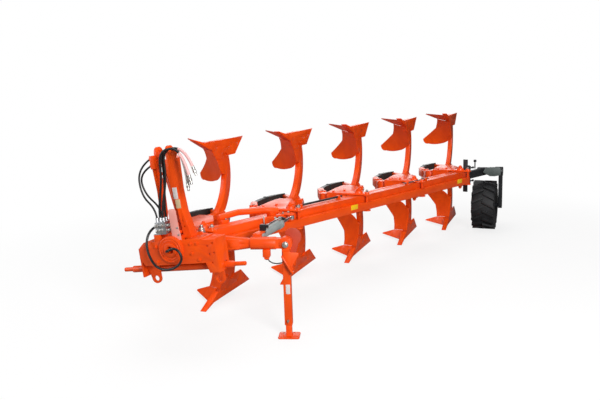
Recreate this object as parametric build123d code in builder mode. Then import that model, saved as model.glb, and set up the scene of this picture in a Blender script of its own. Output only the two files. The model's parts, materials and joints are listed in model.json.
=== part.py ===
"""Five-furrow mounted reversible plough with adjustable furrow width.

Millimetres, +Z up, travel towards -Y, land side at +X.  The origin lies on the
ground in the middle of the plough's outline.
"""
from build123d import *
import os
from math import atan2, cos, degrees, hypot, pi, radians, sin, sqrt, tan

os.makedirs("parts", exist_ok=True)

# Driving sizes of the whole plough
body_count = 5
travel_pitch = 1000        # spacing of the bodies along the travel
cut_width = 409            # furrow width at rest
axis_rise = 787            # turnover axis above the heel of a lower body
point_drop = 42            # share point below the heel
heel_x, heel_y = -937.8, -1112.5   # heel of the first body
head_tilt = 7              # lean of the headstock, one tractor wheel in the furrow
seat_gap = 0.3             # between pieces that are bolted together
run_gap = 0.3              # between a pin and its bore
side_gap = 6               # between faces that move past each other

axis_z = point_drop + axis_rise

# Beam
beam_size = 150
beam_wall = 12
pivot_ahead = 1330         # leg bracket pivot ahead of the heel
pivot_right = 245          # and to the land side of it
nose_length = 145          # main pivot ahead of the first bracket pivot
nose_r = 50
beam_tail = 110            # beam behind the last bracket pivot
pitch_length = hypot(cut_width, travel_pitch)
beam_dir = Vector(cut_width / pitch_length, travel_pitch / pitch_length, 0)
first_pivot = Vector(heel_x + pivot_right, heel_y - pivot_ahead, axis_z)
main_pivot = first_pivot - beam_dir * nose_length
# Plan of the beam: x along it from the main pivot, y to its left
beam_plan = Plane(origin=main_pivot, x_dir=beam_dir, z_dir=(0, 0, 1))
pivot_s = [nose_length + i * pitch_length for i in range(body_count)]
beam_end = pivot_s[-1] + beam_tail
box_start = 70             # full box section begins behind the main pivot

# Pins
main_pin_r = 25
bracket_pin_r = 28
knuckle_pin_r = 14
knuckle_out = 112          # steering knuckle from the bracket pivot, to the right
rod_width, rod_height = 56, 80
rod_top = 5                # top of the steering rod over the turnover axis

# Leg brackets
plate = 14                 # their upper and lower plates
plate_in = beam_size / 2 + side_gap
plate_out = plate_in + plate
ear_r = 60
knuckle_r = 40

# Legs, all in the frame of a heel
leg_x0, leg_x1 = -72, -12
leg_top = 716              # upper end of a lower leg, at the holder
socket_y0, socket_y1 = -780, -460
socket_half = 71
trunnion_y = -520
trunnion_r = 30

# Plough bodies, in the frame of a heel
landside_thick = 12
board_thick = 10
wing_reach = 660
# x of the section, then (y, z) at the foot, the middle and the top of its arc
board_arcs = [
    (0, (-800, 0), (-585, 200), (-470, 500)),
    (-wing_reach, (-210, 0), (35, 200), (30, 500)),
]
seam_z0, seam_z1 = 95, 62  # seam of share and mouldboard at the shin and at its end
seam_run = 212
seam_land = 3              # gap in height between share and mouldboard
share_tip = (-385, -478, -16)
share_heel = (-2, -850, -8)
share_tip_rise = 12        # height of the share's pointed wing end
point_width = 60
point_y0, point_y1 = -970, -700
seat_top = 445             # the leg's seat for the mouldboard ends here

# Leaf springs of the auto-reset, plan in the frame of a heel
leaf_count = 5
leaf_thick = 10
leaf_height = 90
leaf_step = 7              # each outer leaf is shorter by this many degrees
spring_points = [(-185, -1290), (-395, -660), (-300, -220)]


def heel(i):
    """Heel of body i on the lower side."""
    return Vector(heel_x + i * cut_width, heel_y + i * travel_pitch, point_drop)


def arc_centre(p, q, r):
    """Centre of the circle through three points of a plane."""
    (x1, y1), (x2, y2), (x3, y3) = p, q, r
    d = 2 * (x1 * (y2 - y3) + x2 * (y3 - y1) + x3 * (y1 - y2))
    a, b, c = x1**2 + y1**2, x2**2 + y2**2, x3**2 + y3**2
    return (
        (a * (y2 - y3) + b * (y3 - y1) + c * (y1 - y2)) / d,
        (a * (x3 - x2) + b * (x1 - x3) + c * (x2 - x1)) / d,
    )


def board_y(x, z):
    """Front of the mouldboard's form at x and z."""
    fronts = []
    for _, foot, middle, top in board_arcs:
        cy, cz = arc_centre(foot, middle, top)
        reach = sqrt(hypot(foot[0] - cy, foot[1] - cz) ** 2 - (z - cz) ** 2)
        fronts.append(cy + reach)
    return fronts[0] + (fronts[1] - fronts[0]) * -x / wing_reach


def board_slab(front, back):
    """Solid between the mouldboard's form moved by front and by back along Y."""
    with BuildPart() as slab:
        for x, *arc in board_arcs:
            near = [(y + front, z) for y, z in arc]
            far = [(y + back, z) for y, z in arc]
            with BuildSketch(Plane.YZ.offset(x)):
                with BuildLine():
                    ThreePointArc(*near)
                    Line(near[2], far[2])
                    ThreePointArc(*far[::-1])
                    Line(far[0], near[0])
                make_face()
        loft(ruled=True)
    return slab.part


# One lower mouldboard: a slice of the form inside its outline seen from the front
board_form = board_slab(0, board_thick)
with BuildPart() as lower_board:
    add(board_form)
    with BuildSketch(Plane.XZ):
        with BuildLine():
            Polyline((-262, 205), (-228, 120), (-seam_run, seam_z1), (-1, seam_z0), (-1, 318))
            ThreePointArc((-1, 318), (-62, 385), (-176, 436))
            ThreePointArc((-176, 436), (-290, 458), (-408, 458))
            ThreePointArc((-408, 458), (-484, 440), (-504, 394))
            ThreePointArc((-504, 394), (-400, 314), (-262, 205))
        make_face()
    extrude(amount=1500, both=True, mode=Mode.INTERSECT)

# One lower share with its point
with BuildPart() as lower_share:
    for x in (-point_width - 4, -seam_run, share_tip[0]):
        t = (x - share_heel[0]) / (share_tip[0] - share_heel[0])
        edge_y = share_heel[1] + t * (share_tip[1] - share_heel[1])
        edge_z = share_heel[2] + t * (share_tip[2] - share_heel[2])
        seam_z = seam_z0 + (seam_z1 - seam_z0) * -x / seam_run - seam_land
        if x == share_tip[0]:
            seam_z = edge_z + share_tip_rise
        seam_y = board_y(x, seam_z)
        with BuildSketch(Plane.YZ.offset(x)):
            with BuildLine():
                Polyline((edge_y, edge_z), (seam_y, seam_z), (seam_y + board_thick, seam_z),
                         (edge_y + board_thick, edge_z), close=True)
            make_face()
    loft(ruled=True)
with BuildPart() as lower_point:
    with BuildSketch(Plane.YZ.offset(-point_width - 1)):
        with BuildLine():
            Polyline((point_y0, -point_drop), (-800, -2), (point_y1, -2), (point_y1, 78),
                     (point_y0, 5 - point_drop), close=True)
        make_face()
    extrude(amount=point_width)

# All that lies before the back of the mouldboard, for cutting seats
board_front = board_slab(-700, board_thick + seat_gap)
with BuildPart() as seat_cutter:
    add(board_front)
    with BuildSketch(Plane.XY.offset(-50)):
        Rectangle(2000, 4000)
    extrude(amount=50 + seat_top, mode=Mode.INTERSECT)

# One lower landside with its bolt holes
with BuildPart() as lower_landside:
    with BuildSketch(Plane.YZ.offset(-landside_thick)):
        with BuildLine():
            Polyline((point_y1 + seat_gap, 0), (0, 0), (-195, 167), (-357, 167), (-385, 137),
                     (-457, 137), (-463, 188), (-575, 185), (point_y1 + seat_gap, 105), close=True)
        make_face()
        with Locations((-560, 60), (-290, 75), (-120, 60)):
            Circle(9, mode=Mode.SUBTRACT)
    extrude(amount=landside_thick)
    add(seat_cutter.part, mode=Mode.SUBTRACT)

# One lower leg with the frog that carries the mouldboard and the landside
with BuildPart() as lower_leg:
    with BuildSketch(Plane.YZ.offset(leg_x0)):
        with BuildLine():
            ThreePointArc((-430, 90), (-408, 440), (-610, leg_top))
            Line((-610, leg_top), (-452, leg_top))
            ThreePointArc((-452, leg_top), (-302, 440), (-345, 90))
            Line((-345, 90), (-430, 90))
        make_face()
        with BuildLine():
            Polyline((point_y1 + seat_gap, 2), (point_y1 + seat_gap, 78), (-450, 350), (-400, 350),
                     (-300, 2), close=True)
        make_face()
    extrude(amount=leg_x1 - leg_x0)
    add(seat_cutter.part, mode=Mode.SUBTRACT)

# Axis plane of the whole lower set, about which the upper set is its mirror
mirror_plane = Plane.XY.offset(axis_rise)

# Leaf springs in plan, about the centre of their bow
spring_centre = arc_centre(*spring_points)
spring_r = hypot(spring_points[0][0] - spring_centre[0], spring_points[0][1] - spring_centre[1])
spring_from, spring_to = (
    degrees(atan2(p[1] - spring_centre[1], p[0] - spring_centre[0])) % 360
    for p in (spring_points[0], spring_points[2])
)


def on_bow(radius, angle):
    """Point of a circle about the centre of the springs' bow."""
    return (
        spring_centre[0] + radius * cos(radians(angle)),
        spring_centre[1] + radius * sin(radians(angle)),
    )


def bow(inner, outer, begin, end, half):
    """A bar bent to the springs' bow, half high to each side of the turnover axis."""
    angles = (begin, (begin + end) / 2, end)
    near = [on_bow(inner, a) for a in angles]
    far = [on_bow(outer, a) for a in angles]
    with BuildPart() as bar:
        with BuildSketch(Plane.XY.offset(axis_rise - half)):
            with BuildLine():
                ThreePointArc(*near)
                Line(near[2], far[2])
                ThreePointArc(*far[::-1])
                Line(far[0], near[0])
            make_face()
        extrude(amount=2 * half)
    return bar.part


inner_r = spring_r - leaf_count * leaf_thick / 2
outer_r = inner_r + leaf_count * leaf_thick
with BuildPart() as spring_pack:
    for k in range(leaf_count):
        add(bow(inner_r + k * leaf_thick, inner_r + (k + 1) * leaf_thick,
                spring_from - k * leaf_step, spring_to + k * leaf_step / 3, leaf_height / 2))
spring_room = bow(inner_r - seat_gap, outer_r + seat_gap, spring_from + 1, spring_to - 1,
                  leaf_height / 2 + seat_gap)

# One leg bracket: web, two plates over and under the beam, cheeks, trunnion, bolts
px, py = pivot_right, -pivot_ahead
kx = px + knuckle_out * beam_dir.Y
ky = py - knuckle_out * beam_dir.X
web_plan = [(-120, -1370), (95, -1370), (185, -1050), (60, -830), (12, -815), (-96, -815),
            (-120, -1000)]
cheek_thick = 14
cheek_gap = 2
web_wall = 16
spring_cast = 116          # height of the casting at the springs' front end
with BuildPart() as bracket:
    with BuildSketch(Plane.XY.offset(axis_rise - plate_in)):
        Polygon(*web_plan, align=None)
    extrude(amount=2 * plate_in)
    with BuildSketch(Plane.XY.offset(axis_rise - plate_in)):
        with BuildSketch(mode=Mode.PRIVATE) as inside:
            Polygon(*web_plan, align=None)
            offset(amount=-web_wall)
        add(inside.sketch)
        with Locations((-42, -850)):
            Rectangle(76, 150)
    extrude(amount=2 * plate_in, mode=Mode.SUBTRACT)
    for level in (-plate_out, plate_in):
        with BuildSketch(Plane.XY.offset(axis_rise + level)):
            Polygon(*web_plan, align=None)
            with BuildSketch(mode=Mode.PRIVATE) as reach:
                with Locations((px, py)):
                    Circle(ear_r)
                with Locations((kx, ky)):
                    Circle(knuckle_r)
                with Locations((-60, -1310)):
                    Circle(60)
                with Locations((40, -1210)):
                    Circle(60)
                make_hull()
            add(reach.sketch)
        extrude(amount=plate)
    for x in (leg_x0 - 8 - cheek_gap - cheek_thick, leg_x1 + 8 + cheek_gap):
        with BuildSketch(Plane.YZ.offset(x)):
            with Locations((trunnion_y, axis_rise)):
                Circle(60)
            with Locations(((trunnion_y - 850) / 2, axis_rise)):
                Rectangle(trunnion_y + 850, 120)
        extrude(amount=cheek_thick)
    with BuildSketch(Plane.YZ.offset(leg_x0 - 8 - cheek_gap - cheek_thick - 14)):
        with Locations((trunnion_y, axis_rise)):
            Circle(trunnion_r)
    extrude(amount=170)
    # block on the trunnion's outer end
    with BuildSketch(Plane.YZ.offset(leg_x1 + 8 + cheek_gap + cheek_thick)):
        with Locations((trunnion_y, axis_rise)):
            RectangleRounded(88, 80, 10)
    extrude(amount=36)
    # casting that holds the front end of the leaf springs
    with BuildSketch(Plane.XY.offset(axis_rise - spring_cast / 2)):
        with BuildSketch(mode=Mode.PRIVATE) as casting:
            with Locations((-175, -1265)):
                Circle(62)
            with Locations((-262, -1120)):
                Circle(46)
            make_hull()
        add(casting.sketch)
        with Locations((-150, -1265)):
            Rectangle(80, 110)
    extrude(amount=spring_cast)
    add(spring_room, mode=Mode.SUBTRACT)
    with BuildSketch(Plane.XY.offset(axis_rise - plate_out - 22)):
        with Locations((px, py)):
            Circle(44)
    extrude(amount=22)
    with BuildSketch(Plane.XY.offset(axis_rise + plate_out)):
        with Locations((px, py)):
            Circle(44)
        with Locations((kx, ky)):
            Circle(24)
    extrude(amount=22)
    with BuildSketch(Plane.XY.offset(axis_rise - plate_out)):
        with Locations((px, py)):
            Circle(bracket_pin_r)
        with Locations((kx, ky)):
            Circle(knuckle_pin_r)
    extrude(amount=2 * plate_out)

# The holder between the upper and the lower leg, with the arm that bears on the springs
tail_plan = [(-70, -480), (-20, -480), (-20, -430), (-262, -215), (-325, -240), (-110, -440),
             (-70, -445)]
with BuildPart() as leg_holder:
    with BuildSketch(Plane.YZ.offset(leg_x0 - 8)):
        with Locations(((socket_y0 + socket_y1) / 2, axis_rise)):
            Rectangle(socket_y1 - socket_y0, 2 * socket_half)
    extrude(amount=leg_x1 - leg_x0 + 16)
    fillet(leg_holder.edges().filter_by(Axis.X), 20)
    with BuildSketch(Plane.XY.offset(axis_rise - 30)):
        Polygon(*tail_plan, align=None)
    extrude(amount=60)
    add(spring_room, mode=Mode.SUBTRACT)
    with BuildSketch(Plane.YZ.offset(leg_x0 - 8)):
        with Locations((trunnion_y, axis_rise)):
            Circle(trunnion_r + run_gap)
    extrude(amount=leg_x1 - leg_x0 + 16, mode=Mode.SUBTRACT)


def both_sides(lower):
    """A lower piece and its mirror of the upper set."""
    return [lower, lower.mirror(mirror_plane)]


def tube(start, end, radius):
    """Round bar between two points."""
    run = end - start
    with BuildPart() as bar:
        with BuildSketch(Plane(origin=start, z_dir=run)):
            Circle(radius)
        extrude(amount=run.length)
    return bar.part


def save(piece, name):
    """Label a finished piece and write it to its file."""
    piece.part.label = name
    export_step(piece.part, f"parts/{name}.step")


for i in range(body_count):
    with BuildPart() as legs:
        with Locations(heel(i)):
            add([leg_holder.part] + both_sides(lower_leg.part))
    save(legs, f"legs_{i + 1}")
    with BuildPart() as mouldboards:
        with Locations(heel(i)):
            add(both_sides(lower_board.part))
    save(mouldboards, f"mouldboards_{i + 1}")
    with BuildPart() as shares:
        with Locations(heel(i)):
            add(both_sides(lower_share.part) + both_sides(lower_point.part))
    save(shares, f"shares_{i + 1}")
    with BuildPart() as landsides:
        with Locations(heel(i)):
            add(both_sides(lower_landside.part))
    save(landsides, f"landsides_{i + 1}")
    with BuildPart() as leg_bracket:
        with Locations(heel(i)):
            add(bracket.part)
    save(leg_bracket, f"leg_bracket_{i + 1}")
    with BuildPart() as springs:
        with Locations(heel(i)):
            add(spring_pack.part)
    save(springs, f"springs_{i + 1}")


# Main beam: hollow box with a solid nose, holes for the main pin and the bracket bolts
lug_s = 1097               # cylinder lug along the beam
lug_pin_out = 135          # its pin from the beam's middle, to the right
lug_z = 45                 # cylinder over the turnover axis
lug_plate = 10
eye_half = 18
lug_pin_r = 13
with BuildPart() as main_beam:
    with BuildSketch(beam_plan.offset(-beam_size / 2)):
        Circle(nose_r)
        with Locations((box_start / 2 + 10, 0)):
            Rectangle(box_start + 20, 2 * nose_r)
        with Locations(((box_start + beam_end) / 2, 0)):
            Rectangle(beam_end - box_start, beam_size)
    extrude(amount=beam_size)
    with BuildSketch(beam_plan.offset(beam_wall - beam_size / 2)):
        with Locations(((box_start + 20 + beam_end) / 2, 0)):
            Rectangle(beam_end - box_start - 20, beam_size - 2 * beam_wall)
    extrude(amount=beam_size - 2 * beam_wall, mode=Mode.SUBTRACT)
    with BuildSketch(beam_plan.offset(-beam_size / 2)):
        Circle(main_pin_r + run_gap)
        with Locations(*[(s, 0) for s in pivot_s]):
            Circle(bracket_pin_r + run_gap)
    extrude(amount=beam_size, mode=Mode.SUBTRACT)
    for level in (lug_z - eye_half - 2 - lug_plate, lug_z + eye_half + 2):
        with BuildSketch(beam_plan.offset(level)):
            with BuildLine():
                Polyline((lug_s - 45, -beam_size / 2), (lug_s - 30, -lug_pin_out))
                ThreePointArc((lug_s - 30, -lug_pin_out), (lug_s, -lug_pin_out - 30),
                              (lug_s + 30, -lug_pin_out))
                Polyline((lug_s + 30, -lug_pin_out), (lug_s + 45, -beam_size / 2),
                         (lug_s - 45, -beam_size / 2))
            make_face()
        extrude(amount=lug_plate)
    with BuildSketch(beam_plan.offset(lug_z - eye_half - 2 - lug_plate)):
        with Locations((lug_s, -lug_pin_out)):
            Circle(lug_pin_r)
    extrude(amount=2 * (eye_half + 2 + lug_plate))
save(main_beam, "main_beam")

# Braces on the front of the beam: a bent tube that crosses over it
with BuildPart() as beam_brace:
    with BuildLine(beam_plan) as brace_line:
        FilletPolyline((400, 112, 128), (640, 112, 140), (900, 20, 128), (1010, -40, 112),
                       radius=150)
    brace_start = brace_line.line
    with BuildSketch(Plane(origin=brace_start @ 0, z_dir=brace_start % 0)):
        Circle(30)
    sweep(path=brace_line.line)
    # its feet on the top of the beam
    with BuildSketch(beam_plan.offset(beam_size / 2 + seat_gap)):
        with Locations((440, 85), (955, -10)):
            Rectangle(70, 62)
    extrude(amount=30)
save(beam_brace, "beam_brace")

# Steering rod beside the beam, pinned to the knuckle of every bracket
with BuildPart() as steering_rod:
    with BuildSketch(beam_plan.offset(rod_top - rod_height)):
        with Locations(((pivot_s[0] + pivot_s[-1]) / 2, -knuckle_out)):
            SlotCenterToCenter(pivot_s[-1] - pivot_s[0], rod_width)
        with Locations(*[(s, -knuckle_out) for s in pivot_s]):
            Circle(knuckle_pin_r + run_gap, mode=Mode.SUBTRACT)
    extrude(amount=rod_height)
save(steering_rod, "steering_rod")

# Headstock: its planes are drawn from the front, x to the land side, y up, both tilted
axis_x = main_pivot.X - 20
tilt = radians(head_tilt)


def head(y):
    """Plane across the turnover axis at y."""
    return Plane(origin=(axis_x, y, axis_z), x_dir=(cos(tilt), 0, sin(tilt)), z_dir=(0, -1, 0))


def across(u):
    """Plane along the travel at lateral place u of the headstock; x is Y, y is up the tower."""
    side = Vector(cos(tilt), 0, sin(tilt))
    return Plane(origin=Vector(axis_x, 0, axis_z) + side * u, x_dir=(0, 1, 0), z_dir=side)


def head_level(a):
    """Plane at height a along the tower; x is the lateral place, y is Y."""
    up = Vector(-sin(tilt), 0, cos(tilt))
    return Plane(origin=Vector(axis_x, 0, axis_z) + up * a, x_dir=(cos(tilt), 0, sin(tilt)), z_dir=up)


head_front = heel_y - 1745
head_rear = heel_y - 1560
front_plate = 20
rear_plate = 15
shaft_r = 60
boss_r = 113
boss_length = 105
boss_proud = 20
hitch_y = heel_y - 1620
hitch_drop = 180
hitch_r = 35
pin_r = 18.3               # hitch pins, 36.6 mm across
hitch_dir = Vector(cos(tilt), 0, sin(tilt))
hitch_middle = Vector(axis_x, hitch_y, axis_z) - Vector(-sin(tilt), 0, cos(tilt)) * hitch_drop
frame_left, frame_right, frame_top, frame_bottom = -330, 300, 72, -130
cheek_right = 420
lug_rear = hitch_y - hitch_r - 3
with BuildPart() as headstock_frame:
    # front and rear plates, floor, ends
    with BuildSketch(head(head_front + front_plate)):
        Polygon((frame_left + 15, 30), (frame_left + 60, 68), (-200, frame_top),
                (frame_right, frame_top), (frame_right, frame_bottom),
                (frame_left + 45, frame_bottom), (frame_left, -60), align=None)
    extrude(amount=front_plate)
    with BuildSketch(head(head_rear)):
        Polygon((frame_left + 60, 68), (frame_right, frame_top), (frame_right, frame_bottom),
                (frame_left + 45, frame_bottom), (frame_left + 20, -60), align=None)
    extrude(amount=rear_plate)
    depth = head_rear - head_front
    with BuildSketch(head(head_rear)):
        with Locations(((frame_left + 60 + frame_right) / 2, frame_bottom + 7)):
            Rectangle(frame_right - frame_left - 60, 14)
        with Locations((frame_right - 7, (frame_top + frame_bottom) / 2)):
            Rectangle(14, frame_top - frame_bottom)
        with Locations((-215, (frame_top + frame_bottom) / 2)):
            Rectangle(14, frame_top - frame_bottom - 4)
        with Locations((210, frame_top - 7)):
            Rectangle(180, 14)
        with Locations((-205, frame_top - 9)):
            Rectangle(130, 14)
    extrude(amount=depth)
    # bearing of the turnover shaft
    with BuildSketch(head(head_front - boss_proud + boss_length)):
        Circle(boss_r)
    extrude(amount=boss_length)
    with BuildSketch(head(head_rear)):
        Circle(shaft_r + run_gap)
    extrude(amount=depth + boss_proud, mode=Mode.SUBTRACT)
    # left cheek with the lug that hangs below the hitch shaft
    with BuildSketch(head(head_rear - 5)):
        with Locations((-330, -105)):
            Rectangle(18, 250)
    extrude(amount=depth - 20)
    with BuildSketch(head(lug_rear)):
        with Locations((-245, -255)):
            Circle(46)
        Polygon((-335, -110), (-200, -110), (-200, -255), (-290, -255), align=None)
        with Locations((-245, -258)):
            Circle(24, mode=Mode.SUBTRACT)
    extrude(amount=18)
    # folded right cheek
    with BuildSketch(head(head_front + 12)):
        Polygon((230, 62), (cheek_right, 62), (cheek_right, -215), (330, -215), (300, -120),
                (230, -120), align=None)
        with Locations((340, 10), (390, 30), (350, -60), (392, -50), (365, -130)):
            Circle(8, mode=Mode.SUBTRACT)
    extrude(amount=12)
    with BuildSketch(head(head_rear - 5)):
        with Locations((cheek_right - 8, -77)):
            Rectangle(16, 278)
        with Locations(((frame_right + cheek_right) / 2 - 5, 55)):
            Rectangle(cheek_right - frame_right + 10, 14)
    extrude(amount=depth - 5)
    with BuildSketch(head(lug_rear)):
        with Locations((372, -280)):
            Circle(48)
        Polygon((330, -180), (410, -180), (420, -280), (324, -280), align=None)
        with Locations((372, -284)):
            Circle(26, mode=Mode.SUBTRACT)
    extrude(amount=18)
    # hitch shaft's way through the cheeks and lugs
    with BuildSketch(Plane(origin=hitch_middle, x_dir=(0, 1, 0), z_dir=hitch_dir).offset(-600)):
        Circle(hitch_r + run_gap)
    extrude(amount=1200, mode=Mode.SUBTRACT)
save(headstock_frame, "headstock_frame")

# Hitch shaft with its stepped pins, turned about its own axis
# lateral place, radius; the left end first
hitch_steps = [(-600, 0), (-600, 15), (-596, pin_r), (-515, pin_r), (-505, 29), (-400, 29),
               (-394, hitch_r), (400, hitch_r), (406, 29), (475, 29), (505, pin_r),
               (596, pin_r), (600, 15), (600, 0)]
with BuildPart() as hitch_shaft:
    with BuildSketch(Plane(origin=hitch_middle, x_dir=hitch_dir, z_dir=(0, -1, 0))):
        Polygon(*hitch_steps, align=None)
    revolve(axis=Axis(hitch_middle, hitch_dir))
save(hitch_shaft, "hitch_shaft")

# Valve block and hoses in front of the tower
valve_u0, valve_u1, valve_a0, valve_a1 = -121, -22, 130, 235
valve_front, valve_rear = heel_y - 1745, heel_y - 1665
valve_foot_u, valve_foot = -120, 60
ferrule_r, ferrule_length = 13.5, 35
ferrule_top = valve_a1 + ferrule_length
parked_y = (heel_y - 1728, heel_y - 1688, heel_y - 1728)
loop_y = (heel_y - 1722, heel_y - 1688)
sleeve_a, sleeve_y = 190, heel_y - 1705

# Free hoses: route points as (lateral place, height along the tower, y) of the headstock
hose_d, loop_d, sleeve_d = 19, 16, 20
rack_y = heel_y - 1725
parked_routes = [
    [(-38, ferrule_top, parked_y[0]), (-38, 330, parked_y[0]), (52, 600, rack_y + 12),
     (60, 822, rack_y), (272, 822, rack_y), (320, 662, rack_y - 4)],
    [(-38, ferrule_top, parked_y[1]), (-38, 330, parked_y[1]), (20, 600, rack_y + 32),
     (28, 822, rack_y + 22), (241, 822, rack_y + 22), (239, 545, rack_y + 14)],
    [(-68, ferrule_top, parked_y[2]), (-68, 330, parked_y[2]), (20, 600, rack_y - 10),
     (38, 822, rack_y - 22), (254, 822, rack_y - 22), (288, 598, rack_y - 26)],
]
loop_routes = [
    [(-98, 755, heel_y - 1690), (-222, 690, heel_y - 1706), (-214, 470, heel_y - 1726),
     (-104, 345, loop_y[0]), (-104, ferrule_top, loop_y[0])],
    [(-98, 700, heel_y - 1690), (-216, 648, heel_y - 1698), (-196, 480, heel_y - 1702),
     (-72, 345, loop_y[1]), (-72, ferrule_top, loop_y[1])],
]
sleeve_route = [
    (valve_u0 - ferrule_length, sleeve_a, sleeve_y), (-212, 158, heel_y - 1735),
    (-214, 20, heel_y - 1795), (-122, -140, heel_y - 1830), (60, -150, heel_y - 1845),
    (175, -60, heel_y - 1855), (120, 45, heel_y - 1862), (0, 0, heel_y - 1866),
    (0, 0, heel_y - 1768),
]


def at_head(u, a, y):
    """Point of the headstock at lateral place u, height a along the tower and y."""
    return across(u).from_local_coords(Vector(y, a, 0))


def collar(places, radius, length):
    """Round end piece behind the first point of a hose's route."""
    start, after = at_head(*places[0]), at_head(*places[1])
    return tube(start - (after - start).normalized() * length, start, radius)


# Tower over the frame: two bent side plates, a face on the right leg, rungs, top clevis
tower_front = hitch_y - 40
tower_rear = head_rear
tower_depth = tower_rear - tower_front
tower_wall = 14
cylinder_y = heel_y - 1597
cylinder_top = 620
cylinder_pin_r = 14
# half width and height of the tower's outer edge
tower_edge = [(68, 778), (112, 738), (100, 480), (110, 290), (160, frame_top)]
link_up = 800              # top link bore over the turnover axis
link_r = 16
link_gap = 40              # half the slot of the clevis
clevis_low = 700
rest_r = 6
rest_u, rest_a = 150, 812 - rest_r   # pin just under the parked hoses
stub_back = 56
with BuildPart() as tower:
    for side in (-1, 1):
        with BuildSketch(head(tower_rear)):
            outer = [(side * u, a) for u, a in tower_edge]
            inner = [(side * (u - tower_wall), a) for u, a in tower_edge[::-1]]
            Polygon(*outer, *inner, align=None)
        extrude(amount=tower_depth)
    with BuildSketch(head(tower_front + tower_wall)):
        Polygon(*[(u, a) for u, a in tower_edge[1:]], (70, frame_top), (20, 290), (20, 700),
                align=None)
    extrude(amount=tower_wall)
    with BuildSketch(head(tower_rear)):
        with Locations((0, 680)):
            Rectangle(2 * 100, tower_wall)
    extrude(amount=30)
    # top clevis, rounded towards the front and over the top
    with BuildSketch(across(0).offset(-68)):
        with Locations((hitch_y + 10, link_up)):
            Circle(48)
        with Locations(((tower_front + tower_rear) / 2, (clevis_low + link_up) / 2)):
            Rectangle(tower_depth, link_up - clevis_low)
        with Locations((hitch_y + 10, link_up)):
            Circle(link_r, mode=Mode.SUBTRACT)
    extrude(amount=2 * 68)
    with BuildSketch(across(0).offset(-link_gap)):
        with Locations(((tower_front + tower_rear) / 2, link_up + 10)):
            Rectangle(2 * tower_depth, 150)
    extrude(amount=2 * link_gap, mode=Mode.SUBTRACT)
    # pin that the parked hoses hang over, on a plate to the right of the clevis
    with BuildSketch(head(tower_front + 10)):
        Polygon((60, 720), (110, 700), (rest_u + 12, rest_a - 12), (rest_u + 12, rest_a + 2),
                (60, rest_a - 10), align=None)
    extrude(amount=10)
    with BuildSketch(head(tower_front)):
        with Locations((rest_u, rest_a)):
            Circle(rest_r)
    extrude(amount=100)
    # block with the stubs that the loop hoses leave from
    with BuildSketch(head(tower_front + tower_wall)):
        with Locations((-72, 728)):
            Rectangle(40, 110)
    extrude(amount=stub_back)
    for places in loop_routes:
        add(collar(places, 12, 24))
    # pin of the turnover cylinder
    with BuildSketch(across(0).offset(-100)):
        with Locations((cylinder_y, cylinder_top)):
            Circle(cylinder_pin_r)
    extrude(amount=200)
save(tower, "headstock_tower")

# Valve block on the frame's top edge, with the crimped ends of its hoses
with BuildPart() as valve_block:
    with BuildSketch(head(valve_rear)):
        with Locations(((valve_u0 + valve_u1) / 2, (valve_a0 + valve_a1) / 2)):
            RectangleRounded(valve_u1 - valve_u0, valve_a1 - valve_a0, 6)
    extrude(amount=valve_rear - valve_front)
    with BuildSketch(head(head_front + front_plate)):
        with Locations((valve_foot_u, (frame_top + seat_gap + valve_a0 + 5) / 2)):
            Rectangle(valve_foot, valve_a0 + 5 - frame_top - seat_gap)
    extrude(amount=front_plate)
    for places in parked_routes + [loop[::-1] for loop in loop_routes] + [sleeve_route]:
        add(collar(places, ferrule_r, ferrule_length + 2))
save(valve_block, "valve_block")

def turns(route):
    """Radius of the arc at each inner point of a route, from its shorter run."""
    radii = []
    for before, here, after in zip(route, route[1:], route[2:]):
        inward, outward = here - before, after - here
        half_turn = radians(inward.get_angle(outward)) / 2
        radii.append(0.45 * min(inward.length, outward.length) / tan(half_turn))
    return radii


def hose(places, diameter, name):
    """Hose of that diameter along its route; returns the route."""
    route = [at_head(*place) for place in places]
    radii = turns(route)
    with BuildPart() as run:
        with BuildLine() as path:
            FilletPolyline(*route, radius=radii)
        whole = path.line
        with BuildSketch(Plane(origin=whole @ 0, z_dir=whole % 0)):
            Circle(diameter / 2)
        sweep(path=whole)
    save(run, name)
    length = sum(edge.length for edge in whole.edges())
    share = pi * diameter**2 / 4 * length / run.part.volume
    print(name, "length", round(length), "radii", [round(r) for r in radii],
          "section times length over volume", round(share, 4))
    return route


parked_ends = []
for k, places in enumerate(parked_routes):
    route = hose(places, hose_d, f"parked_hose_{k + 1}")
    parked_ends.append((route[-1], (route[-1] - route[-2]).normalized()))
for k, places in enumerate(loop_routes):
    hose(places, loop_d, f"loop_hose_{k + 1}")
hose(sleeve_route, sleeve_d, "sleeved_hose")

# Quick couplers on the parked hoses
coupler_r, coupler_length = 15, 58
nose_tip_r, nose_tip = 10, 22
with BuildPart() as hose_couplers:
    for end, way in parked_ends:
        with BuildSketch(Plane(origin=end, z_dir=way)):
            Circle(coupler_r)
        extrude(amount=coupler_length)
        with BuildSketch(Plane(origin=end + way * coupler_length, z_dir=way)):
            Circle(nose_tip_r)
        extrude(amount=nose_tip)
save(hose_couplers, "hose_couplers")

# Turnover cylinder in the tower: barrel on the tower's pin, rod down towards the crank
crank_r = 88
crank_reach = 108
rod_eye = (crank_r, -10)
cylinder_angle = degrees(atan2(rod_eye[0], cylinder_top - rod_eye[1]))
cylinder_run = hypot(rod_eye[0], cylinder_top - rod_eye[1])
turn_rod_r = 14
barrel_r = 38
barrel_end = 480
cylinder_plane = Plane(head(cylinder_y).location * Location((0, cylinder_top), cylinder_angle))


def cylinder_sketch_plane(run):
    """Plane across the turnover cylinder, run millimetres below its top pin."""
    return Plane(
        origin=cylinder_plane.origin - cylinder_plane.y_dir * run,
        x_dir=cylinder_plane.x_dir,
        z_dir=-cylinder_plane.y_dir,
    )


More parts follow.
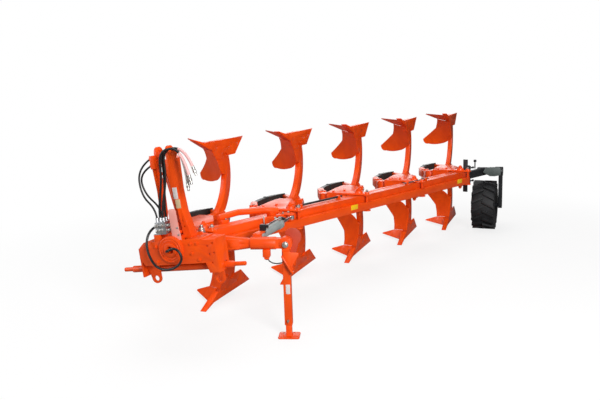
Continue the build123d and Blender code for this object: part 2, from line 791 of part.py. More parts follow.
with BuildPart() as turnover_barrel:
    with BuildSketch(cylinder_sketch_plane(24)):
        Circle(barrel_r)
    extrude(amount=barrel_end - 24)
    with BuildSketch(Plane(origin=cylinder_plane.origin, x_dir=(0, 1, 0), z_dir=hitch_dir).offset(-25)):
        Circle(34)
    extrude(amount=50)
    with BuildSketch(cylinder_sketch_plane(barrel_end - 40)):
        Circle(barrel_r + 4)
    extrude(amount=40)
    with BuildSketch(Plane(origin=cylinder_plane.origin, x_dir=(0, 1, 0), z_dir=hitch_dir).offset(-60)):
        Circle(cylinder_pin_r + run_gap)
    extrude(amount=120, mode=Mode.SUBTRACT)
    with BuildSketch(cylinder_sketch_plane(120)):
        Circle(turn_rod_r + run_gap)
    extrude(amount=barrel_end, mode=Mode.SUBTRACT)
save(turnover_barrel, "turnover_barrel")
with BuildPart() as turnover_rod:
    with BuildSketch(cylinder_sketch_plane(180)):
        Circle(turn_rod_r)
    extrude(amount=cylinder_run - 180 - 17)
    with BuildSketch(cylinder_plane.offset(-turn_rod_r)):
        with Locations((0, -cylinder_run)):
            Circle(22)
            Circle(12, mode=Mode.SUBTRACT)
    extrude(amount=2 * turn_rod_r)
save(turnover_rod, "turnover_rod")


# Turnover shaft with its crank, and the front frame behind it
def turn(y):
    """Plane across the turnover axis at y, level with the ground, seen from the front."""
    return Plane(origin=(axis_x, y, axis_z), x_dir=(1, 0, 0), z_dir=(0, -1, 0))


flange_front = heel_y - 1550
flange_thick = 25
hose_bore_r = 32
crank_rear = heel_y - 1616
shaft_front = head_front - boss_proud - 10
with BuildPart() as turnover_shaft:
    with BuildSketch(turn(flange_front)):
        Circle(shaft_r)
    extrude(amount=flange_front - shaft_front)
    with BuildSketch(turn(crank_rear)):
        with BuildSketch(mode=Mode.PRIVATE) as crank:
            Circle(78)
            with Locations((crank_r, 0)):
                Circle(crank_reach - crank_r)
            make_hull()
        add(crank.sketch)
    extrude(amount=24)
    with BuildSketch(turn(flange_front)):
        Circle(hose_bore_r)
    extrude(amount=flange_front - shaft_front, mode=Mode.SUBTRACT)
save(turnover_shaft, "turnover_shaft")

ear_gap = side_gap
ear_thick = 25
ear_low = beam_size / 2 + ear_gap
side_x0, side_x1 = heel_x + 255, heel_x + 335
side_y0, side_y1 = flange_front + 20, heel_y - 1475
with BuildPart() as front_frame:
    with BuildSketch(turn(flange_front + flange_thick)):
        Circle(140)
    extrude(amount=flange_thick)
    for level in (-ear_low - ear_thick, ear_low):
        with BuildSketch(Plane.XY.offset(axis_z + level)):
            with BuildSketch(mode=Mode.PRIVATE) as ear:
                with Locations((main_pivot.X, main_pivot.Y)):
                    Circle(nose_r)
                with Locations((axis_x, flange_front + flange_thick)):
                    Rectangle(190, 2)
                make_hull()
            add(ear.sketch)
        extrude(amount=ear_thick)
    with BuildSketch(Plane.XY.offset(axis_z - ear_low - ear_thick)):
        with Locations(((side_x0 + side_x1) / 2, (side_y0 + side_y1) / 2)):
            Rectangle(side_x1 - side_x0, side_y1 - side_y0)
    extrude(amount=2 * (ear_low + ear_thick))
    with BuildSketch(Plane.XY.offset(axis_z - ear_low - ear_thick - 16)):
        with Locations((main_pivot.X, main_pivot.Y)):
            Circle(main_pin_r)
    extrude(amount=2 * (ear_low + ear_thick + 16))
    for level in (-ear_low - ear_thick - 16, ear_low + ear_thick):
        with BuildSketch(Plane.XY.offset(axis_z + level)):
            with Locations((main_pivot.X, main_pivot.Y)):
                Circle(40)
        extrude(amount=16)
save(front_frame, "front_frame")

# Forked arm out to the parking stand and the cylinder
stand_pivot = Vector(heel_x + 1010, heel_y - 1300, axis_z)
arm_turn = radians(16.5)
arm_dir = Vector(cos(arm_turn), sin(arm_turn), 0)
arm_out = Vector(sin(arm_turn), -cos(arm_turn), 0)   # towards the front
arm_r = 54
branch_r = 34
branch_rise = 70
arm_root = stand_pivot - arm_dir * ((stand_pivot.X - side_x1) / arm_dir.X)
fork = stand_pivot - arm_dir * 240
arm_tube_end = 85
boss_half = 40
stand_boss_r = 55
stand_bolt_r = 18
barrel_pin = Vector(heel_x + 760, heel_y - 1240, axis_z + lug_z)
arm_plane = Plane(origin=stand_pivot, x_dir=arm_dir, z_dir=arm_out)


with BuildPart() as front_arm:
    for rise in (-branch_rise, branch_rise):
        add(tube(arm_root - arm_dir * 40 + Vector(0, 0, rise), fork, branch_r))
    split(bisect_by=Plane.YZ.offset(side_x1))
    add(tube(fork - arm_dir * 60, stand_pivot - arm_dir * arm_tube_end, arm_r))
    with BuildSketch(arm_plane.offset(-boss_half)):
        Circle(stand_boss_r)
        with Locations((-(arm_tube_end + 20) / 2, 0)):
            Rectangle(arm_tube_end + 20, 80)
        Circle(stand_bolt_r + run_gap, mode=Mode.SUBTRACT)
    extrude(amount=2 * boss_half)
    with BuildSketch(arm_plane.offset(-45)):
        with Locations((-455, 0)):
            Rectangle(130, 84)
    extrude(amount=90)
    with BuildSketch(arm_plane.offset(45)):
        with Locations((-455, 0)):
            Circle(22)
    extrude(amount=8)
    with BuildSketch(Plane.XY.offset(axis_z)):
        with Locations((barrel_pin.X, barrel_pin.Y - 92)):
            Rectangle(64, 50)
    extrude(amount=lug_z + eye_half + 2 + lug_plate)
    for level in (lug_z - eye_half - 2 - lug_plate, lug_z + eye_half + 2):
        with BuildSketch(Plane.XY.offset(axis_z + level)):
            with Locations((barrel_pin.X, barrel_pin.Y)):
                Circle(32)
            with Locations((barrel_pin.X, barrel_pin.Y - 50)):
                Rectangle(64, 100)
        extrude(amount=lug_plate)
    with BuildSketch(Plane.XY.offset(axis_z + lug_z - eye_half - 2 - lug_plate)):
        with Locations((barrel_pin.X, barrel_pin.Y)):
            Circle(lug_pin_r)
    extrude(amount=2 * (eye_half + 2 + lug_plate))
save(front_arm, "front_arm")

# Width cylinder between the arm and the beam
lug_pin = beam_plan.from_local_coords(Vector(lug_s, -lug_pin_out, lug_z))
width_run = lug_pin - barrel_pin
width_plane = Plane(origin=barrel_pin, x_dir=(0, 0, 1), z_dir=width_run)
width_barrel_r = 40
width_barrel_end = 440
width_rod_r = 16
width_rod_start = 320
with BuildPart() as width_barrel:
    with BuildSketch(width_plane.offset(34)):
        Circle(width_barrel_r)
    extrude(amount=width_barrel_end - 34)
    with BuildSketch(width_plane.offset(width_barrel_end - 50)):
        Circle(width_barrel_r + 6)
    extrude(amount=50)
    with BuildSketch(Plane(origin=barrel_pin, z_dir=(0, 0, 1)).offset(-eye_half)):
        with BuildSketch(mode=Mode.PRIVATE) as eye:
            Circle(24)
            with Locations((width_run.X * 0.05, width_run.Y * 0.05)):
                Circle(24)
            make_hull()
        add(eye.sketch)
        Circle(lug_pin_r + run_gap, mode=Mode.SUBTRACT)
    extrude(amount=2 * eye_half)
    with BuildSketch(width_plane.offset(width_rod_start - 90)):
        Circle(width_rod_r + run_gap)
    extrude(amount=width_barrel_end, mode=Mode.SUBTRACT)
save(width_barrel, "width_barrel")
with BuildPart() as width_rod:
    with BuildSketch(width_plane.offset(width_rod_start)):
        Circle(width_rod_r)
    extrude(amount=width_run.length - width_rod_start - 22)
    with BuildSketch(Plane(origin=lug_pin, z_dir=(0, 0, 1)).offset(-eye_half)):
        Circle(30)
        Circle(20, mode=Mode.SUBTRACT)
    extrude(amount=2 * eye_half)
save(width_rod, "width_rod")

# Parking stand: outer leg with cheeks on the arm's end, inner leg with its foot
stand_size = 66
stand_wall = 7
cheek_low = 190
stand_end = 112            # lower end of the outer leg above the ground
foot_thick = 12
cheek_plate = 10
with BuildPart() as stand_leg:
    for place in (boss_half + 1, -boss_half - 1 - cheek_plate):
        with BuildSketch(arm_plane.offset(place)):
            Circle(50)
            with Locations((0, -cheek_low / 2)):
                Rectangle(stand_size, cheek_low)
        extrude(amount=cheek_plate)
    with BuildSketch(arm_plane.offset(-boss_half - 1)):
        with Locations((0, -(64 + cheek_low) / 2)):
            Rectangle(stand_size, cheek_low - 64)
    extrude(amount=2 * (boss_half + 1))
    leg_plane = Plane(origin=(stand_pivot.X, stand_pivot.Y, stand_end), x_dir=arm_dir, z_dir=(0, 0, 1))
    with BuildSketch(leg_plane):
        Rectangle(stand_size, stand_size)
    extrude(amount=axis_z - cheek_low - stand_end)
    with BuildSketch(leg_plane):
        Rectangle(stand_size - 2 * stand_wall, stand_size - 2 * stand_wall)
    extrude(amount=axis_z - cheek_low - stand_end - 60, mode=Mode.SUBTRACT)
    with BuildSketch(arm_plane.offset(-boss_half - 1 - cheek_plate - 14)):
        Circle(stand_bolt_r)
    extrude(amount=2 * (boss_half + 1 + cheek_plate + 14))
    for place in (boss_half + 1 + cheek_plate, -boss_half - 1 - cheek_plate - 14):
        with BuildSketch(arm_plane.offset(place)):
            Circle(32)
        extrude(amount=14)
    with BuildSketch(arm_plane.offset(stand_size / 2 - 10)):
        Polygon((30, -75), (105, -80), (105, -100), (30, -230), align=None)
    extrude(amount=10)
save(stand_leg, "stand_leg")
with BuildPart() as stand_foot:
    with BuildSketch(Plane(origin=(stand_pivot.X, stand_pivot.Y, 0), x_dir=arm_dir, z_dir=(0, 0, 1))):
        RectangleRounded(185, 150, 18)
    extrude(amount=foot_thick)
    with BuildSketch(Plane(origin=(stand_pivot.X, stand_pivot.Y, foot_thick), x_dir=arm_dir,
                           z_dir=(0, 0, 1))):
        inner_size = stand_size - 2 * stand_wall - 2 * run_gap
        Rectangle(inner_size, inner_size)
    extrude(amount=stand_end + 130)
save(stand_foot, "stand_foot")

# Depth wheel: bracket behind the beam, arm, rim and tyre
wheel_s = 5150             # axle along the beam from the main pivot
wheel_r = 345
wheel_width = 320
axle_r = 25
pivot_pin_r = 30
pivot_tube_r = 52
wheel_at = beam_plan.from_local_coords(Vector(wheel_s, 0, 0))


def wheel_side(x):
    """Plane across the wheel's axle at x from the wheel's middle; x is Y, y is Z."""
    return Plane.YZ.offset(wheel_at.X + x)


with BuildPart() as wheel_bracket:
    with BuildSketch(beam_plan.offset(-110)):
        with Locations((beam_end + 8, 0)):
            Rectangle(16, 170)
    extrude(amount=220)
    with BuildSketch(beam_plan.offset(-220)):
        with Locations((beam_end + 16 + 10, 0)):
            Rectangle(20, 60)
    extrude(amount=440)
    with BuildSketch(beam_plan.offset(-45)):
        with Locations(((beam_end + 30 + wheel_s) / 2, 0)):
            Rectangle(wheel_s - beam_end - 30, 90)
    extrude(amount=90)
    with BuildSketch(wheel_side(-100)):
        with Locations((wheel_at.Y, axis_z)):
            Circle(pivot_tube_r)
    extrude(amount=230)
    with BuildSketch(wheel_side(-200)):
        with Locations((wheel_at.Y, axis_z)):
            Circle(pivot_pin_r + run_gap)
    extrude(amount=400, mode=Mode.SUBTRACT)
save(wheel_bracket, "wheel_bracket")

hub_x0, hub_x1 = 136, 240
strut_x0 = 185
with BuildPart() as wheel_arm:
    with BuildSketch(wheel_side(-112)):
        with Locations((wheel_at.Y, axis_z)):
            Circle(pivot_pin_r)
    extrude(amount=hub_x0 + 112)
    with BuildSketch(wheel_side(-112)):
        with Locations((wheel_at.Y, axis_z)):
            Circle(46)
    extrude(amount=10)
    with BuildSketch(wheel_side(hub_x0)):
        with Locations((wheel_at.Y, axis_z)):
            Circle(62)
    extrude(amount=hub_x1 - hub_x0)
    with BuildSketch(wheel_side(strut_x0)):
        with Locations((wheel_at.Y, (axis_z + wheel_r) / 2)):
            SlotCenterToCenter(axis_z - wheel_r, 84, rotation=90)
    extrude(amount=50)
    with BuildSketch(wheel_side(-60)):
        with Locations((wheel_at.Y, wheel_r)):
            Circle(axle_r)
    extrude(amount=strut_x0 + 60)
save(wheel_arm, "wheel_arm")

axle = Axis((wheel_at.X, wheel_at.Y, wheel_r), (1, 0, 0))
axle_plane = Plane(origin=(wheel_at.X, wheel_at.Y, wheel_r), x_dir=(1, 0, 0), z_dir=(0, 1, 0))
rim_r = 152
rim_half = 118
with BuildPart() as wheel_rim:
    with BuildSketch(axle_plane):
        # hub, disc, rim with its two flanges; x along the axle, y outwards
        Polygon((-75, axle_r + run_gap), (110, axle_r + run_gap), (110, 50), (50, 62), (42, 120),
                (42, rim_r - 12), (rim_half, rim_r - 10), (rim_half + 12, rim_r + 12),
                (rim_half + 4, rim_r + 16), (rim_half, rim_r), (-rim_half, rim_r),
                (-rim_half - 4, rim_r + 16), (-rim_half - 12, rim_r + 12),
                (-rim_half, rim_r - 10), (28, rim_r - 12), (28, 120), (34, 62), (-75, 50),
                align=None)
    revolve(axis=axle)
save(wheel_rim, "wheel_rim")

tread_r = 318
shoulder_r = 300
lug_count = 17
# One tread lug: x out from the axle, y round it, z along it
with BuildPart() as lower_lug:
    with BuildSketch(Plane.YZ.offset(shoulder_r - 18)):
        Polygon((-16, -6), (16, -6), (92, wheel_width / 2 - 8), (54, wheel_width / 2 - 8),
                align=None)
    extrude(amount=80)
    with BuildSketch(Plane.XY.offset(-wheel_width / 2)):
        Circle(wheel_r)
    extrude(amount=wheel_width, mode=Mode.INTERSECT)
with BuildPart() as tyre:
    with BuildSketch(axle_plane):
        with BuildLine():
            bead = rim_half - 1
            side = wheel_width / 2
            Polyline((-bead, rim_r + 20), (-bead, rim_r + seat_gap), (bead, rim_r + seat_gap),
                     (bead, rim_r + 20))
            ThreePointArc((bead, rim_r + 20), (side, 240), (side - 18, shoulder_r))
            ThreePointArc((side - 18, shoulder_r), (0, tread_r), (18 - side, shoulder_r))
            ThreePointArc((18 - side, shoulder_r), (-side, 240), (-bead, rim_r + 20))
        make_face()
    revolve(axis=axle)
    for turned, flip in ((0, False), (180 / lug_count, True)):
        one = lower_lug.part.mirror(Plane.XY) if flip else lower_lug.part
        for k in range(lug_count):
            spin = Location((wheel_at.X, wheel_at.Y, wheel_r), (0, 90, 0))
            add(spin * Rot(0, 0, turned + k * 360 / lug_count) * one)
save(tyre, "tyre")
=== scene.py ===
"""Finishes and small parts of a five-furrow reversible plough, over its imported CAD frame."""
import json
import logging
import math
from dataclasses import dataclass, field
from enum import Enum
from typing import Callable, Iterable, Sequence

import bpy
from mathutils import Matrix, Vector


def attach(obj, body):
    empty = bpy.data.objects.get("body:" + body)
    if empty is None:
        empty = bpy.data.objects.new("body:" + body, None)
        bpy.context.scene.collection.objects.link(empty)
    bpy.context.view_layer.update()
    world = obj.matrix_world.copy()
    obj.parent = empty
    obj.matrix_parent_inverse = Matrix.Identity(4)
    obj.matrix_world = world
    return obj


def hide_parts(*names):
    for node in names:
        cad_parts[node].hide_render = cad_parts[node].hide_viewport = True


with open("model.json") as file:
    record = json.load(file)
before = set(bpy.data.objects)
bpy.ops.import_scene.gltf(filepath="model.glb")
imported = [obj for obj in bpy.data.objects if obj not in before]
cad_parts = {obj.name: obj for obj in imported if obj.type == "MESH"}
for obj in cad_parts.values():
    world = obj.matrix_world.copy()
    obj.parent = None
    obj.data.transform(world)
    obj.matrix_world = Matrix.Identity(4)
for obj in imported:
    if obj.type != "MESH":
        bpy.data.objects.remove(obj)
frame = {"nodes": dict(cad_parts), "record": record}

log = logging.getLogger("plough")
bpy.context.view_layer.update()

# Places of the frame, in metres
HEEL = Vector((-0.9378, -1.1125, 0.042))
STEP = Vector((0.409, 1.0, 0.0))
AXIS_Z = 0.829
BODY_COUNT = 5
BEAM_WAY = STEP.normalized()
BEAM_LEFT = Vector((-BEAM_WAY.y, BEAM_WAY.x, 0.0))
UP = Vector((0.0, 0.0, 1.0))
LAND_SIDE = Vector((1.0, 0.0, 0.0))
FIRST_PIVOT = Vector((HEEL.x + 0.245, HEEL.y - 1.330, AXIS_Z))
MAIN_PIVOT = FIRST_PIVOT - BEAM_WAY * 0.145
HEAD_AXIS_X = MAIN_PIVOT.x - 0.020
TILT = math.radians(7)
HEAD_SIDE = Vector((math.cos(TILT), 0.0, math.sin(TILT)))
HEAD_UP = Vector((-math.sin(TILT), 0.0, math.cos(TILT)))
FORWARD = Vector((0.0, -1.0, 0.0))
ARM_TURN = math.radians(16.5)
ARM_WAY = Vector((math.cos(ARM_TURN), math.sin(ARM_TURN), 0.0))
ARM_OUT = Vector((math.sin(ARM_TURN), -math.cos(ARM_TURN), 0.0))
STAND_PIVOT = Vector((HEEL.x + 1.010, HEEL.y - 1.300, AXIS_Z))
WHEEL_MIDDLE = MAIN_PIVOT + BEAM_WAY * 5.150 + Vector((0.0, 0.0, 0.345 - AXIS_Z))


def beam_point(along: float, left: float, up: float) -> Vector:
    """Point of the beam's own plan.

    Args:
        along: distance along the beam from the main pivot.
        left: distance to the beam's left.
        up: height over the turnover axis.

    Returns:
        The point in the row frame.
    """
    return MAIN_PIVOT + BEAM_WAY * along + BEAM_LEFT * left + UP * up


def head_point(side: float, up: float, back: float) -> Vector:
    """Point of the headstock.

    Args:
        side: lateral place, to the land side.
        up: height along the tower over the turnover axis.
        back: y from the first heel, negative towards the tractor.

    Returns:
        The point in the row frame.
    """
    middle = Vector((HEAD_AXIS_X, HEEL.y + back, AXIS_Z))
    return middle + HEAD_SIDE * side + HEAD_UP * up


def body_point(number: int, x: float, y: float, z: float, upper: bool = False) -> Vector:
    """Point of a plough body from its heel, or of its mirrored upper set.

    Args:
        number: the body, 1 at the front.
        x: to the land side.
        y: along the travel, backwards.
        z: over the heel of the lower set.
        upper: True for the same place of the upper set.

    Returns:
        The point in the row frame.
    """
    place = HEEL + STEP * (number - 1) + Vector((x, y, z))
    if upper:
        place.z = 2 * AXIS_Z - place.z
    return place


# Shaping


def deselect_all() -> None:
    """Leaves edit mode and selects nothing."""
    if bpy.context.object is not None and bpy.context.object.mode != "OBJECT":
        bpy.ops.object.mode_set(mode="OBJECT")
    bpy.ops.object.select_all(action="DESELECT")


def pick(obj: bpy.types.Object) -> None:
    """Selects one object alone and makes it active."""
    deselect_all()
    obj.select_set(True)
    bpy.context.view_layer.objects.active = obj


def settle(obj: bpy.types.Object, name: str) -> bpy.types.Object:
    """Names a piece and moves its place, turn and size into its mesh.

    Args:
        obj: the piece.
        name: its new name.

    Returns:
        The same piece, at the origin and unturned.
    """
    pick(obj)
    bpy.ops.object.transform_apply(location=True, rotation=True, scale=True)
    obj.name = name
    obj.data.name = name
    return obj


def apply_modifier(obj: bpy.types.Object, kind: str, **settings: object) -> None:
    """Adds a modifier with its settings and applies it."""
    pick(obj)
    modifier = obj.modifiers.new(kind.lower(), kind)
    for key, value in settings.items():
        setattr(modifier, key, value)
    bpy.ops.object.modifier_apply(modifier=modifier.name)


def round_corners(obj: bpy.types.Object, width: float, degrees: float, **settings: object) -> None:
    """Rounds the edges where faces meet over an angle."""
    limit = math.radians(degrees)
    apply_modifier(obj, "BEVEL", width=width, segments=2, limit_method="ANGLE", angle_limit=limit, **settings)


def smooth(obj: bpy.types.Object, degrees: float = 35.0) -> None:
    """Shades a piece smooth where its faces meet under the angle."""
    pick(obj)
    bpy.ops.object.shade_smooth_by_angle(angle=math.radians(degrees))


def join(pieces: Sequence[bpy.types.Object], name: str) -> bpy.types.Object:
    """Joins pieces to one object with its place in its mesh.

    Args:
        pieces: the objects, of which the first one stays.
        name: the name of the result.

    Returns:
        The joined object.
    """
    deselect_all()
    for piece in pieces:
        piece.select_set(True)
    bpy.context.view_layer.objects.active = pieces[0]
    if len(pieces) > 1:
        bpy.ops.object.join()
    return settle(pieces[0], name)


def turn_to(way: Vector) -> Matrix:
    """Rotation that points the local z axis along a way."""
    return way.to_track_quat("Z", "Y").to_matrix().to_4x4()


def rod(
    start: Vector, end: Vector, radius: float, sides: int = 24, round_edge: float = 0.0
) -> bpy.types.Object:
    """Round bar between two points.

    Args:
        start: centre of the first end.
        end: centre of the other end.
        radius: radius of the bar.
        sides: facets round it.
        round_edge: width of the rounded edge of its ends, 0 for none.

    Returns:
        The bar.
    """
    run = end - start
    deselect_all()
    bpy.ops.mesh.primitive_cylinder_add(vertices=sides, radius=radius, depth=run.length, location=(0, 0, 0))
    bar = bpy.context.object
    if round_edge:
        round_corners(bar, round_edge, 50)
    bar.matrix_world = Matrix.Translation((start + end) / 2) @ turn_to(run)
    smooth(bar, 40)
    return bar


def block(
    centre: Vector, size: Sequence[float], x_way: Vector, z_way: Vector, edge: float = 0.002
) -> bpy.types.Object:
    """Rounded block.

    Args:
        centre: its middle.
        size: its lengths along x_way, across and along z_way.
        x_way: direction of its first length.
        z_way: direction of its last length.
        edge: width of its rounded edges.

    Returns:
        The block.
    """
    deselect_all()
    bpy.ops.mesh.primitive_cube_add(size=1, location=(0, 0, 0))
    box = bpy.context.object
    box.scale = size
    bpy.ops.object.transform_apply(location=False, rotation=False, scale=True)
    apply_modifier(box, "BEVEL", width=min(edge, 0.45 * min(size)), segments=2, limit_method="NONE")
    z = z_way.normalized()
    x = (x_way - z * x_way.dot(z)).normalized()
    y = z.cross(x)
    turn = Matrix((x, y, z)).transposed().to_4x4()
    box.matrix_world = Matrix.Translation(centre) @ turn
    smooth(box, 40)
    return box


def turned(
    start: Vector, way: Vector, steps: Sequence[tuple[float, float, int, float]]
) -> list[bpy.types.Object]:
    """Turned piece: bars that stand on one another.

    Args:
        start: centre of the first end.
        way: direction of its axis.
        steps: length, radius, sides and width of the rounded edge of each bar.

    Returns:
        Its bars.
    """
    made = []
    for length, radius, sides, edge in steps:
        end = start + way * length
        made.append(rod(start, end, radius, sides, edge))
        start = end
    return made


def ring(centre: Vector, way: Vector, radius: float, thick: float, sides: int = 40) -> bpy.types.Object:
    """Round ring about a way.

    Args:
        centre: its middle.
        way: its axis.
        radius: radius of its middle line.
        thick: radius of its section.
        sides: facets round it.

    Returns:
        The ring.
    """
    deselect_all()
    bpy.ops.mesh.primitive_torus_add(
        major_radius=radius, minor_radius=thick, major_segments=sides, minor_segments=10
    )
    hoop = bpy.context.object
    hoop.matrix_world = Matrix.Translation(centre) @ turn_to(way)
    smooth(hoop, 60)
    return hoop


class Fastener(Enum):
    """Kinds of fasteners on the plough."""

    HEX = "hex"
    PLOUGH = "plough"
    STUD = "stud"


@dataclass
class FastenerSet:
    """Bolts and nuts of one body, each modelled once and copied to its places."""

    name: str
    places: list[tuple[Fastener, float, Vector, Vector]] = field(default_factory=list)

    def add(self, kind: Fastener, size: float, place: Vector, way: Vector) -> None:
        """Notes a fastener of a size, the radius of its head, at a place and pointing a way."""
        self.places.append((kind, size, place, way.normalized()))

    @staticmethod
    def model(kind: Fastener) -> bpy.types.Object:
        """Models one fastener with a head of radius 1, standing on the origin along z."""
        parts: list[bpy.types.Object] = []
        deselect_all()
        if kind is Fastener.PLOUGH:
            bpy.ops.mesh.primitive_cylinder_add(vertices=20, radius=1, depth=0.16, location=(0, 0, 0.0))
            head = bpy.context.object
            apply_modifier(head, "BEVEL", width=0.07, segments=2, limit_method="ANGLE", angle_limit=0.8)
            parts.append(head)
        else:
            bpy.ops.mesh.primitive_cylinder_add(vertices=20, radius=1.28, depth=0.16, location=(0, 0, 0.08))
            parts.append(bpy.context.object)
            deselect_all()
            bpy.ops.mesh.primitive_cylinder_add(vertices=6, radius=1, depth=0.85, location=(0, 0, 0.58))
            head = bpy.context.object
            apply_modifier(head, "BEVEL", width=0.09, segments=2, limit_method="ANGLE", angle_limit=0.8)
            parts.append(head)
            if kind is Fastener.STUD:
                deselect_all()
                bpy.ops.mesh.primitive_cylinder_add(vertices=16, radius=0.55, depth=0.6, location=(0, 0, 1.2))
                parts.append(bpy.context.object)
        made = join(parts, f"{kind.value}_pattern")
        smooth(made, 30)
        return made

    def build(self, body: str, material: bpy.types.Material) -> bpy.types.Object:
        """Places every fastener and joins them to one piece.

        Args:
            body: the CAD body that they ride on.
            material: their finish.

        Returns:
            The piece.
        """
        patterns = {kind: self.model(kind) for kind in dict.fromkeys(entry[0] for entry in self.places)}
        copies = []
        for count, (kind, size, place, way) in enumerate(self.places):
            copy = patterns[kind].copy()
            copy.data = patterns[kind].data.copy()
            bpy.context.scene.collection.objects.link(copy)
            spin = Matrix.Rotation(0.37 * count, 4, "Z")
            copy.matrix_world = Matrix.Translation(place) @ turn_to(way) @ spin @ Matrix.Scale(size, 4)
            copies.append(copy)
        for pattern in patterns.values():
            bpy.data.objects.remove(pattern)
        return finish_piece(join(copies, self.name), body, material)


def finish_piece(
    obj: bpy.types.Object, body: str, material: bpy.types.Material
) -> bpy.types.Object:
    """Gives a piece its finish and the body that it moves with.

    Args:
        obj: the piece.
        body: the CAD body that it rides on.
        material: its finish.

    Returns:
        The same piece.
    """
    obj.data.materials.clear()
    obj.data.materials.append(material)
    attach(obj, body)
    log.info("%s: %d faces on %s", obj.name, len(obj.data.polygons) if obj.type == "MESH" else 0, body)
    return obj


# Finishes


def linear(code: str) -> tuple[float, float, float, float]:
    """Turns an sRGB hex colour to the linear numbers of a shader.

    Args:
        code: six hex digits after a hash sign.

    Returns:
        Red, green, blue and an alpha of 1.
    """
    parts = [int(code[k:k + 2], 16) / 255 for k in (1, 3, 5)]
    red, green, blue = (c / 12.92 if c <= 0.04045 else ((c + 0.055) / 1.055) ** 2.4 for c in parts)
    return red, green, blue, 1.0


def add_node(
    owner: bpy.types.Material | bpy.types.World,
    kind: str,
    settings: dict[str, object] | None = None,
    inputs: dict[str | int, object] | None = None,
    links: Iterable[tuple[bpy.types.NodeSocket, str | int]] = (),
) -> bpy.types.Node:
    """Adds a node with its settings and links.

    Args:
        owner: the material or world that it goes to.
        kind: the node's type name.
        settings: its own properties.
        inputs: values of its input sockets.
        links: pairs of another node's output and the input that it feeds.

    Returns:
        The node.
    """
    tree = owner.node_tree
    node = tree.nodes.new(kind)
    for key, value in (settings or {}).items():
        setattr(node, key, value)
    for key, value in (inputs or {}).items():
        node.inputs[key].default_value = value
    for output, key in links:
        tree.links.new(output, node.inputs[key])
    return node


def bare_material(name: str) -> tuple[bpy.types.Material, bpy.types.Node, bpy.types.NodeSocket]:
    """Starts a material.

    Args:
        name: its name.

    Returns:
        The material, its surface shader and the output with the object's own coordinates.
    """
    material = bpy.data.materials.new(name)
    material.use_nodes = True
    shader = material.node_tree.nodes["Principled BSDF"]
    place = add_node(material, "ShaderNodeTexCoord").outputs["Object"]
    return material, shader, place


def grain(
    material: bpy.types.Material, place: bpy.types.NodeSocket, size_mm: float, detail: float = 3.0
) -> bpy.types.NodeSocket:
    """Noise with spots of a real size.

    Args:
        material: the material.
        place: the coordinates in metres.
        size_mm: width of a spot.
        detail: octaves of finer noise.

    Returns:
        The factor output.
    """
    settings = {"Scale": 1000.0 / size_mm, "Detail": detail}
    node = add_node(material, "ShaderNodeTexNoise", inputs=settings, links=[(place, "Vector")])
    return node.outputs["Fac"]


def blend_colours(
    material: bpy.types.Material, factor: bpy.types.NodeSocket,
    low: float, high: float, first: str, second: str,
) -> bpy.types.NodeSocket:
    """Ramp between two colours.

    Args:
        material: the material.
        factor: what drives it.
        low: factor of the first colour.
        high: factor of the second colour.
        first: hex colour.
        second: hex colour.

    Returns:
        The colour output.
    """
    ramp = add_node(material, "ShaderNodeValToRGB", links=[(factor, "Fac")])
    ramp.color_ramp.elements[0].position = low
    ramp.color_ramp.elements[0].color = linear(first)
    ramp.color_ramp.elements[1].position = high
    ramp.color_ramp.elements[1].color = linear(second)
    return ramp.outputs["Color"]


def range_of(
    material: bpy.types.Material, factor: bpy.types.NodeSocket, low: float, high: float
) -> bpy.types.NodeSocket:
    """Maps a factor of about 0.35 to 0.65 onto a range of values.

    Args:
        material: the material.
        factor: what drives it.
        low: the smallest value.
        high: the largest value.

    Returns:
        The value output.
    """
    node = add_node(
        material, "ShaderNodeMapRange",
        inputs={"From Min": 0.35, "From Max": 0.65, "To Min": low, "To Max": high}, links=[(factor, "Value")],
    )
    return node.outputs["Result"]


@dataclass(frozen=True)
class PaintFinish:
    """Two-pack machinery paint, sprayed over steel: an even gloss with broad soft waves."""

    name: str
    colour: str
    shade: str
    roughness: float = 0.34
    coat: float = 0.06
    shine: float = 0.36

    def material(self) -> bpy.types.Material:
        """Makes the material."""
        material, shader, place = bare_material(self.name)
        tree = material.node_tree
        # broad thin and thick places of the spray, about 140 mm across
        cloud = grain(material, place, 140, 2)
        colour = blend_colours(material, cloud, 0.35, 0.7, self.colour, self.shade)
        tree.links.new(colour, shader.inputs["Base Color"])
        tree.links.new(
            range_of(material, grain(material, place, 220, 1), self.roughness - 0.03, self.roughness + 0.05),
            shader.inputs["Roughness"],
        )
        shader.inputs["Specular IOR Level"].default_value = self.shine
        shader.inputs["Coat Weight"].default_value = self.coat
        shader.inputs["Coat Roughness"].default_value = 0.12
        # the coat's orange peel, 3 mm across and hardly there
        peel = add_node(
            material, "ShaderNodeBump", inputs={"Strength": 0.02, "Distance": 0.0002},
            links=[(grain(material, place, 3, 1), "Height")],
        )
        tree.links.new(peel.outputs["Normal"], shader.inputs["Normal"])
        return material


@dataclass(frozen=True)
class MetalFinish:
    """Bare or plated steel and cast alloy."""

    name: str
    colour: str
    roughness: float = 0.3
    spots_mm: float = 12.0

    def material(self) -> bpy.types.Material:
        """Makes the material."""
        material, shader, place = bare_material(self.name)
        shader.inputs["Metallic"].default_value = 1.0
        shader.inputs["Base Color"].default_value = linear(self.colour)
        spots = grain(material, place, self.spots_mm)
        rough = range_of(material, spots, self.roughness - 0.05, self.roughness + 0.1)
        material.node_tree.links.new(rough, shader.inputs["Roughness"])
        return material


